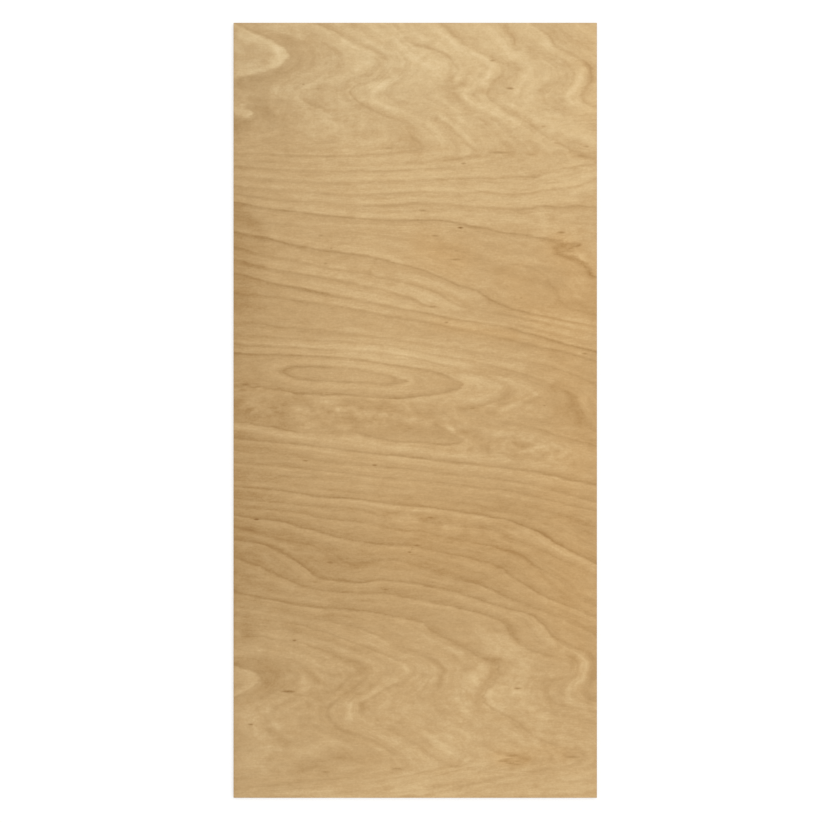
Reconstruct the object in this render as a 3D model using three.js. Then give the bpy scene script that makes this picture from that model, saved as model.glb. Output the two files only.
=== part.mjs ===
// Plywood sheet: one flat panel of birch plywood, lying on its back face.
//
// Units are millimetres and +Z is up. The origin is the middle of the back face. The face veneer's
// grain runs along X, across the sheet, and the sheet's length runs along Y. The good face is on top.
//
// The panel is sawn square on all four sides. A light pass of sandpaper has taken the sharp line off
// every arris, which is the edge where a face meets a sawn side, and off each of the four corners.

import * as THREE from "three";

// ---- driving dimensions ----

const SHEET_LENGTH = 2440; // along Y, the eight-foot side
const SHEET_WIDTH = 1144; // along X, the way the face grain runs
const PLY_COUNT = 13; // an odd number, so that both faces run the same way
const PLY_THICKNESS = 18 / 13; // each veneer after pressing and sanding
const ARRIS = 0.4; // width of the sanded bevel along every edge
const CORNER_RADIUS = 1.2; // each corner, seen from above
const CORNER_FLATS = 6; // flats that make up one rounded corner

const SHEET_THICKNESS = PLY_COUNT * PLY_THICKNESS;

// ---- colour and finish ----

const BIRCH_COLOUR = 0xc6a577; // sanded birch that has aged to a golden tan
const BIRCH_ROUGHNESS = 0.65; // bare wood, with no varnish or film

// ---- the sheet ----

// The sheet seen from above: a rectangle centred on the origin, with each corner a quarter circle.
function sheetOutline() {
  const halfWidth = SHEET_WIDTH / 2;
  const halfLength = SHEET_LENGTH / 2;
  const corners = [
    { x: 1, y: -1, start: -Math.PI / 2 },
    { x: 1, y: 1, start: 0 },
    { x: -1, y: 1, start: Math.PI / 2 },
    { x: -1, y: -1, start: Math.PI },
  ];
  const outline = new THREE.Shape();
  for (const corner of corners) {
    const centreX = corner.x * (halfWidth - CORNER_RADIUS);
    const centreY = corner.y * (halfLength - CORNER_RADIUS);
    outline.absarc(centreX, centreY, CORNER_RADIUS, corner.start, corner.start + Math.PI / 2, false);
  }
  outline.closePath();
  return outline;
}

// The outline drawn up to the sheet's thickness. The bevel eats into the panel, so the full width and
// length stay at mid thickness and the two faces are smaller by one arris on each side.
function sheetGeometry() {
  const geometry = new THREE.ExtrudeGeometry(sheetOutline(), {
    depth: SHEET_THICKNESS - 2 * ARRIS,
    steps: 1,
    curveSegments: CORNER_FLATS / 2, // an arc is cut into twice this many flats
    bevelEnabled: true,
    bevelThickness: ARRIS,
    bevelSize: ARRIS,
    bevelOffset: -ARRIS,
    bevelSegments: 1,
  });
  geometry.translate(0, 0, ARRIS);
  return geometry;
}

function plywoodSheet() {
  const birch = new THREE.MeshStandardMaterial({
    color: BIRCH_COLOUR,
    roughness: BIRCH_ROUGHNESS,
    metalness: 0,
  });
  const sheet = new THREE.Mesh(sheetGeometry(), birch);
  sheet.name = "plywood_sheet";
  return sheet;
}

const part = new THREE.Group();
part.add(plywoodSheet());

export default part;
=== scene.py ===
"""A full sheet of birch plywood, lying flat with its good face up.

Thirteen rotary-cut birch veneers are glued crosswise. A log that is peeled on a lathe meets the
knife almost along its growth rings, so the figure is a map of level lines: each ring draws one long
line, closed where the knife just skimmed it and hooked where the stem was wavy.
"""

import math

import bmesh
import bpy
import numpy as np
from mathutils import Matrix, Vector, noise


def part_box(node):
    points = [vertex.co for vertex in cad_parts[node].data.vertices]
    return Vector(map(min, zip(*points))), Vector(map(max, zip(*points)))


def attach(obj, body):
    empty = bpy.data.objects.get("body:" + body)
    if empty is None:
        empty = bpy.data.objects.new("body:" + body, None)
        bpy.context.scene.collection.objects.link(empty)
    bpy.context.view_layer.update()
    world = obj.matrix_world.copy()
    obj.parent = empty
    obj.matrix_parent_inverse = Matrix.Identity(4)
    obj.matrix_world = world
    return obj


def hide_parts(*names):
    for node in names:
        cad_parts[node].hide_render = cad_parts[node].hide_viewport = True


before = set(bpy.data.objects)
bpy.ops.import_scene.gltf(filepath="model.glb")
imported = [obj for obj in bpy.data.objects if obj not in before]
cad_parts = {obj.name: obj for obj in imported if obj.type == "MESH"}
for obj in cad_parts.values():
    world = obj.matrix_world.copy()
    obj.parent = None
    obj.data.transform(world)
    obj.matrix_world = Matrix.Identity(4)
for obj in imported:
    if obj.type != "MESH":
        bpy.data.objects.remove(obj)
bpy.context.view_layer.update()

# --- Sizes of the sheet, in metres -------------------------------------------------------------

MM = 0.001
SHEET_LOW, SHEET_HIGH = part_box("plywood_sheet")
WIDTH, LENGTH, THICKNESS = SHEET_HIGH - SHEET_LOW
PLY_COUNT = 13
PLY = THICKNESS / PLY_COUNT
GLUE_LINE = 0.1 * MM
ARRIS = 0.4 * MM
CORNER_RADIUS = 1.2 * MM
SHRINK = 0.08 * MM           # how far a ply with its grain along the edge dries back from it
PLY_WANDER = 0.06 * MM       # how far a glue line strays from its level
WANDER_LENGTH = 140 * MM

# --- The veneer's figure, drawn on a layout grid -----------------------------------------------
# In 12 of the growth lines, a program chose which of the given points were kept.

# The layout grid is laid over the good face: columns run from the left edge to the right one, and
# rows from the top end down.

FIRST_COLUMN, FIRST_ROW = 233.0, 22.3
ROW_COUNT = 775.1
PITCH = LENGTH / ROW_COUNT

GROWTH_LINES = [           # ring number, darkness, then columns and rows from end to end
    (19, 1, [(235, 22), (244, 27), (253, 32), (266, 36), (278, 42.5), (287, 50), (290, 56), (286, 62),
        (280, 66.5), (268, 71), (254, 76), (235, 79)]),
    (19, 1.3, [(235, 101), (243, 102), (248, 106), (252, 110.5), (254.5, 114.5), (250, 117.5),
        (243, 119), (235, 120)]),
    (18, 0.12, [(262, 23), (303, 34), (318, 40), (337, 57), (332, 72), (323, 79), (300, 92), (298, 97),
        (305, 101), (325, 110), (335, 116), (362, 126), (366, 131), (356, 135), (300, 144), (235, 147)]),
    (17, 0.9, [(316, 22), (328, 27), (340, 34), (352, 40.5), (365, 46.5), (377, 52), (385, 57), (387.5, 62),
        (383, 70), (377, 77), (364, 82.5), (353, 86), (350, 91), (354, 99), (362, 104.5), (373, 110),
        (386, 115.5), (400, 121), (407, 129), (412, 137), (419, 144), (421, 148), (410, 150.5),
        (380, 153.5), (350, 155), (320, 156), (290, 155.5), (262, 154), (235, 154)]),
    (16, 0.25, [(360, 22), (384, 38), (402, 55), (405, 64), (401, 73), (383, 86), (379, 93), (384, 99),
        (396, 105), (428, 114), (448, 126), (462, 141), (470, 147), (474, 152), (464, 156.5), (430, 161.5),
        (345, 163.5), (235, 160)]),
    (15, 0.8, [(395, 24), (403, 33), (412, 42), (425, 46.5), (438, 51), (448, 57), (454, 64), (454, 72),
        (450, 78)]),
    (15, 0.3, [(450, 78), (443, 85), (440, 93), (448, 102), (458, 109), (470, 115), (483, 121), (493, 130),
        (508, 148), (512, 153), (500, 157), (485, 161), (460, 166)]),
    (15, 0.65, [(460, 166), (370, 171), (280, 169.5), (235, 166)]),
    (14, 0.7, [(440, 22), (465, 43), (480, 52), (500, 61), (503, 68), (502, 75), (495, 82), (489, 88),
        (487, 94), (491, 100), (499, 105), (508, 110.5), (523, 120), (545, 135), (578, 153), (594, 159)]),
    (14, 0.6, [(594, 164), (575, 166.5), (560, 169), (548, 171.5), (537, 175), (520, 176.5), (500, 178),
        (470, 178), (330, 182.5), (235, 177)]),
    (13, 0.6, [(503, 22), (515, 42), (523, 49), (545, 59), (559, 73), (558, 80)]),
    (13, 0.2, [(558, 80), (550, 87), (543, 93), (541, 99), (547, 105)]),
    (13, 0.5, [(547, 105), (572, 113.5), (594, 113)]),
    (13, 0.6, [(594, 178), (583, 183), (570, 187.5), (540, 190), (530, 193), (505, 194), (478, 191.5),
        (460, 193.5), (420, 192), (380, 194), (335, 194), (235, 186)]),
    (12, 1, [(530, 22), (540, 29), (549, 36), (552, 41), (557, 46), (565, 50.5), (574, 55), (582, 60),
        (588, 65), (591, 72), (590, 79), (586, 86), (581, 93), (581, 99), (586, 103), (594, 107)]),
    (12, 0.7, [(594, 207), (575, 206), (560, 207), (540, 206), (525, 208), (500, 208), (420, 203),
        (400, 204.5), (360, 205), (320, 201.5), (300, 201), (262, 197.5), (235, 193)]),
    (11, 0.4, [(578, 22), (585, 27), (594, 33)]),
    (11, 1.2, [(235, 202), (280, 210), (370, 219), (440, 220), (455, 222), (470, 225.3), (485, 228),
        (500, 231.5), (512, 233.7), (525, 234.7), (540, 238), (560, 241), (570, 242.3), (577, 244),
        (572, 247), (556, 254), (563, 255.8), (570, 258), (578, 261.5), (585, 266), (590, 269.5),
        (594, 275)]),
    (10, 0.3, [(235, 215), (262, 222), (300, 226), (340, 232), (360, 233), (400, 238), (450, 248),
        (465, 253), (475, 258), (525, 266), (540, 273), (550, 283), (567, 307), (594, 314)]),
    (9, 1.3, [(235, 232.5), (251, 235.5), (268, 238), (280, 241.2), (290, 244.4), (300, 245.8),
        (320, 249.7), (340, 252), (360, 254.6), (369, 256.2), (380, 259), (400, 264), (420, 269),
        (430, 273), (440, 276.5), (450, 281), (460, 285.5), (475, 289.3), (482, 293.5), (487, 298),
        (500, 304), (512, 308.5), (530, 313), (550, 317.5), (570, 321.7), (594, 326.5)]),
    (8.6, 0.9, [(455, 290), (470, 298), (485, 303), (497, 309)]),
    (8, 0.5, [(235, 247.5), (250, 251), (262, 254.3), (280, 257.8), (300, 261.7), (320, 266), (340, 269.8),
        (360, 272.2), (369, 273), (380, 277), (400, 281.5), (415, 285), (430, 290), (437, 292.5),
        (443, 296), (449, 300.5), (458, 305.5), (480, 310.5), (500, 314), (520, 318), (560, 326),
        (594, 334)]),
    (7, 0.7, [(235, 259.5), (250, 263.5), (262, 266.3), (280, 270.2), (300, 273.5), (320, 276.6),
        (340, 280.6), (360, 285), (380, 288.7), (400, 294.8), (410, 297.3), (418, 301), (424, 304.8)]),
    (7, 0.15, [(424, 304.8), (455, 310), (480, 316), (500, 320), (525, 326), (550, 333), (594, 343)]),
    (6, 1.4, [(235, 273), (250, 276.5), (262, 280.2), (270, 282.7), (290, 286.2), (300, 287.7), (320, 292),
        (330, 294.8), (350, 298.2)]),
    (6, 0.8, [(350, 298.2), (370, 302.2), (400, 308.5), (420, 311.4), (440, 316.2), (460, 319.8),
        (480, 322.7), (500, 326)]),
    (6, 1.3, [(500, 326), (510, 328), (520, 331), (545, 338), (560, 342.3), (570, 345.6), (594, 351)]),
    (5, 0.7, [(235, 293), (285, 298.5), (300, 300.8), (320, 304), (340, 306.7), (360, 310.5), (400, 317.5),
        (420, 320.7), (440, 325), (460, 328.8), (480, 333.5), (500, 338), (515, 341), (530, 345),
        (565, 352), (594, 360)]),
    (4, 0.4, [(235, 322), (255, 323), (280, 327), (300, 328), (400, 340), (520, 360), (560, 370),
        (594, 383)]),
    (3, 0.5, [(235, 334), (260, 336), (290, 338.5), (320, 340.8), (380, 344), (420, 351), (510, 370),
        (520, 372.8), (540, 379.5), (550, 383)]),
    (3, 0.3, [(550, 383), (558, 386), (566, 390), (574, 396), (579, 403), (582, 412), (588, 420),
        (594, 428)]),
    (2.4, 0, [(500, 377), (512, 380.5), (522, 384), (530, 388.5), (535.5, 393.5), (530, 397), (515, 403),
        (505, 407.5), (500, 411), (525, 418), (560, 428), (575, 431), (594, 438)]),
    (2, 0.7, [(235, 343), (260, 345.5), (380, 353), (440, 364)]),
    (2, 0.05, [(440, 364), (490, 376), (508, 384.5), (512, 389.5), (506, 396)]),
    (2, 0.6, [(506, 396), (495, 400.5), (470, 407), (462, 410)]),
    (2, 0.3, [(462, 410), (485, 417.5), (500, 420)]),
    (2, 0.75, [(500, 420), (512, 422.5), (525, 424.5), (545, 430.5), (560, 435.5), (594, 444.5)]),
    (1, 1.2, [(235, 353), (340, 357.5), (400, 366), (430, 370.3), (440, 373), (450, 377.5), (458, 381.5),
        (463, 385.3), (458, 388.5), (450, 391), (440, 393), (430, 394.5), (415, 396.3), (400, 397.4),
        (385, 397.3), (370, 396.3), (350, 394.3), (335, 394), (313, 393.5), (300, 392.3), (290, 391),
        (280, 388.5), (235, 385)]),
    (0, 1, [(276, 370), (290, 366.5), (312, 365.5), (350, 368), (388, 375), (398, 379), (405, 380.5),
        (388, 384), (360, 382), (305, 379.5), (281, 372), (276, 370)]),
    (1, 0.1, [(235, 397), (370, 415), (395, 416)]),
    (1, 0.35, [(405, 419), (425, 421.5), (436, 424), (446, 430), (453, 434.5), (459, 439)]),
    (1, 1.1, [(459, 439), (455, 443.5),
        (445, 444.5), (435, 443.5), (420, 442.2), (405, 441.3), (392, 440.3), (380, 438), (368, 435.5),
        (358, 433)]),
    (1, 0.35, [(358, 433), (345, 432), (330, 432.5), (300, 432.5)]),
    (1, 0.9, [(300, 432.5), (290, 430.5), (270, 426), (250, 423.5), (235, 421.5)]),
    (2, 1.1, [(235, 437.5), (250, 438.7), (262, 440), (280, 441.8), (300, 443.7), (320, 446), (340, 448.2),
        (350, 450), (362, 451.3), (380, 453.8), (400, 455.2), (420, 457.5), (440, 460), (460, 462.2),
        (480, 464.3), (500, 466.3), (520, 469.3), (540, 472.3), (594, 484)]),
    (3, 0.5, [(235, 449), (290, 455), (335, 462), (420, 470), (435, 473), (455, 474), (520, 482),
        (594, 500)]),
    (4, 0.5, [(235, 461), (310, 468), (400, 479), (440, 482), (490, 489), (510, 491), (594, 510)]),
    (5, 0.3, [(235, 470), (262, 474), (380, 485), (545, 510), (594, 526)]),
    (6, 0.2, [(235, 479), (280, 482), (380, 494), (460, 502), (490, 508), (530, 517), (594, 545)]),
    (7, 1.1, [(235, 485), (290, 491), (320, 496), (355, 498), (400, 504.3), (420, 505.6), (440, 508.2),
        (455, 510), (480, 514)]),
    (7, 1.3, [(480, 514), (505, 518.5), (515, 522), (525, 525.5), (535, 529.5), (545, 535.7), (555, 542),
        (565, 547.7), (575, 553), (585, 558), (594, 562.3)]),
    (8, 0.5, [(235, 497), (325, 507), (360, 510), (385, 517), (415, 519), (460, 526.5), (480, 527)]),
    (8, 0.3, [(480, 527), (500, 533), (515, 541), (530, 546), (594, 575)]),
    (9, 0.6, [(235, 506), (295, 511), (320, 517), (360, 521.5), (400, 529.5), (420, 530.5)]),
    (9, 0.35, [(420, 530.5), (440, 536), (465, 540.5), (480, 543.3), (492, 544.5)]),
    (9, 0.8, [(492, 544.5), (500, 548.5), (515, 552.3), (522, 556), (530, 562)]),
    (9, 0.4, [(530, 562), (545, 571.5), (560, 582),
        (568, 590), (578, 597), (594, 604)]),
    (10, 0.9, [(235, 514), (258, 518), (285, 521), (300, 526.5), (312, 529), (350, 539.5), (400, 545),
        (415, 545.5), (430, 549), (440, 551.5), (460, 555.3), (470, 557.5), (482, 561.5), (490, 562.7),
        (494, 565), (500, 566.3), (505, 570.5), (510, 574.5), (517, 579), (530, 587), (545, 595.5),
        (555, 600), (578, 609), (594, 616.5)]),
    (11, 0.5, [(235, 527), (248, 529.5), (285, 540.5), (308, 544), (328, 551), (343, 560.5), (352, 564),
        (362, 563.5), (372, 560.5), (400, 560.5), (430, 569), (445, 574.5), (460, 579), (475, 582),
        (487, 587), (500, 593.5), (515, 600), (530, 605.5), (560, 617), (575, 624), (594, 633)]),
    (12, 1, [(235, 539), (248, 541), (262, 542.5), (290, 557), (306, 568), (320, 577), (357, 582),
        (378, 579.5), (412, 582), (425, 585), (440, 588), (463, 594), (487, 602), (500, 605.7), (512, 609),
        (524, 611.5), (532, 615), (540, 622), (556, 637.5), (573, 646.5), (583, 652.5), (590, 658),
        (593, 666), (591, 674), (586, 683), (583, 690), (586, 696), (594, 700)]),
    (13, 0.8, [(235, 557), (265, 568), (285, 578), (312, 588), (355, 592), (385, 592.5), (400, 595.8),
        (420, 598.8), (440, 603), (457, 606.3), (472, 610), (486, 614.5), (498, 619), (505, 625),
        (509, 632), (514, 639), (520, 644), (530, 649), (552, 656)]),
    (13, 0.2, [(552, 656), (564, 659), (571, 664), (570, 672), (562, 678), (552, 681), (546, 687),
        (545, 694), (550, 701)]),
    (13, 0.8, [(550, 701), (560, 705), (575, 708), (594, 711)]),
    (14, 1, [(235, 592), (288, 602), (310, 605.5), (322, 607.5), (360, 610), (380, 612.5), (400, 616.5),
        (415, 620), (424, 623), (440, 635), (460, 645), (477, 655), (497, 662)]),
    (14, 1.6, [(497, 662), (499, 668), (497, 677), (491, 684), (486, 690), (484, 697), (486, 704),
        (494, 710)]),
    (14, 0.9, [(494, 710), (515, 720), (532, 735), (556, 745), (570, 749), (583, 754), (588, 758),
        (578, 762),
        (560, 766), (535, 771), (505, 776), (470, 783), (420, 796)]),
    (15, 0.6, [(235, 606), (262, 609.5)]),
    (15, 0.3, [(262, 609.5), (275, 611), (335, 622), (345, 625)]),
    (15, 0.6, [(345, 625), (358, 627), (398, 645.5), (408, 648.5), (433, 659)]),
    (15, 0.15, [(433, 659), (440, 665), (441, 673), (437, 682)]),
    (15, 0.3, [(437, 682), (433, 692), (432, 700), (436, 709), (443, 717)]),
    (15, 0.6, [(443, 717), (467, 731), (475, 740), (500, 752), (525, 758), (490, 766), (465, 768),
        (440, 774), (415, 781), (385, 786.5), (350, 791), (310, 794), (270, 797)]),
    (16, 0.5, [(235, 614.5), (262, 619), (280, 620.5)]),
    (16, 1.2, [(280, 620.5), (300, 624.5), (318, 629.5), (352, 641), (383, 653), (395, 658.5)]),
    (16, 0.25, [(395, 658.5), (408, 665), (410, 671), (403, 679), (390, 687), (364, 701), (361, 708),
        (366, 716), (376, 723)]),
    (16, 0.5, [(376, 723), (408, 739), (428, 754), (450, 765), (435, 769), (390, 779), (320, 787),
        (235, 793.5)]),
    (17, 0.9, [(235, 637), (262, 636), (275, 639), (303, 642), (335, 655), (355, 661), (363, 665),
        (368, 670), (366, 676), (358, 684), (340, 698), (331, 703.5), (328, 711), (330, 719), (336, 726),
        (347, 731), (372, 739.5), (382, 745), (390, 751)]),
    (17, 0.2, [(390, 751), (397, 757), (403, 763), (404, 767), (388, 771)]),
    (17, 0.5, [(388, 771), (370, 774), (325, 779.5), (265, 785), (235, 789)]),
    (18, 0.15, [(235, 650), (255, 652), (285, 659), (297, 664), (311, 678), (312, 685), (307, 692),
        (298, 697), (273, 706), (266, 713), (265, 722), (270, 730), (280, 735), (318, 750), (330, 757),
        (315, 760), (235, 770)]),
    (19, 1.4, [(235, 664), (247, 668), (256, 672), (260.5, 678), (258, 683), (251, 687.5), (235, 697.5)]),
]

# How much paler (+) or darker (-) the wood is than birch's middle tone, in levels, at shares of the way down
# the sheet; across it, from the left edge, it is painted shade, which darkens the face towards that edge.
TINT_DOWN = ((0, 0.07, 0.19, 0.31, 0.44, 0.56, 0.69, 0.81, 0.93, 1),
             (15.5, 14, 8, 1.5, 1, -3.5, -11, -2.5, 3.5, 4.5))
PAINTED_SHADE_ACROSS = ((0, 0.03, 0.12, 0.25, 0.38, 0.6, 1), (-19, -15, -11, -6, -1, -0.5, -0.5))

# How clear the growth lines are at shares of the way down: the hooked ends are blurred, because
# there the knife ran almost along the rings.
CLEARNESS_DOWN = ((0, 0.14, 0.18, 0.74, 0.80, 1), (0.5, 0.5, 1, 1, 0.5, 0.5))

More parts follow.
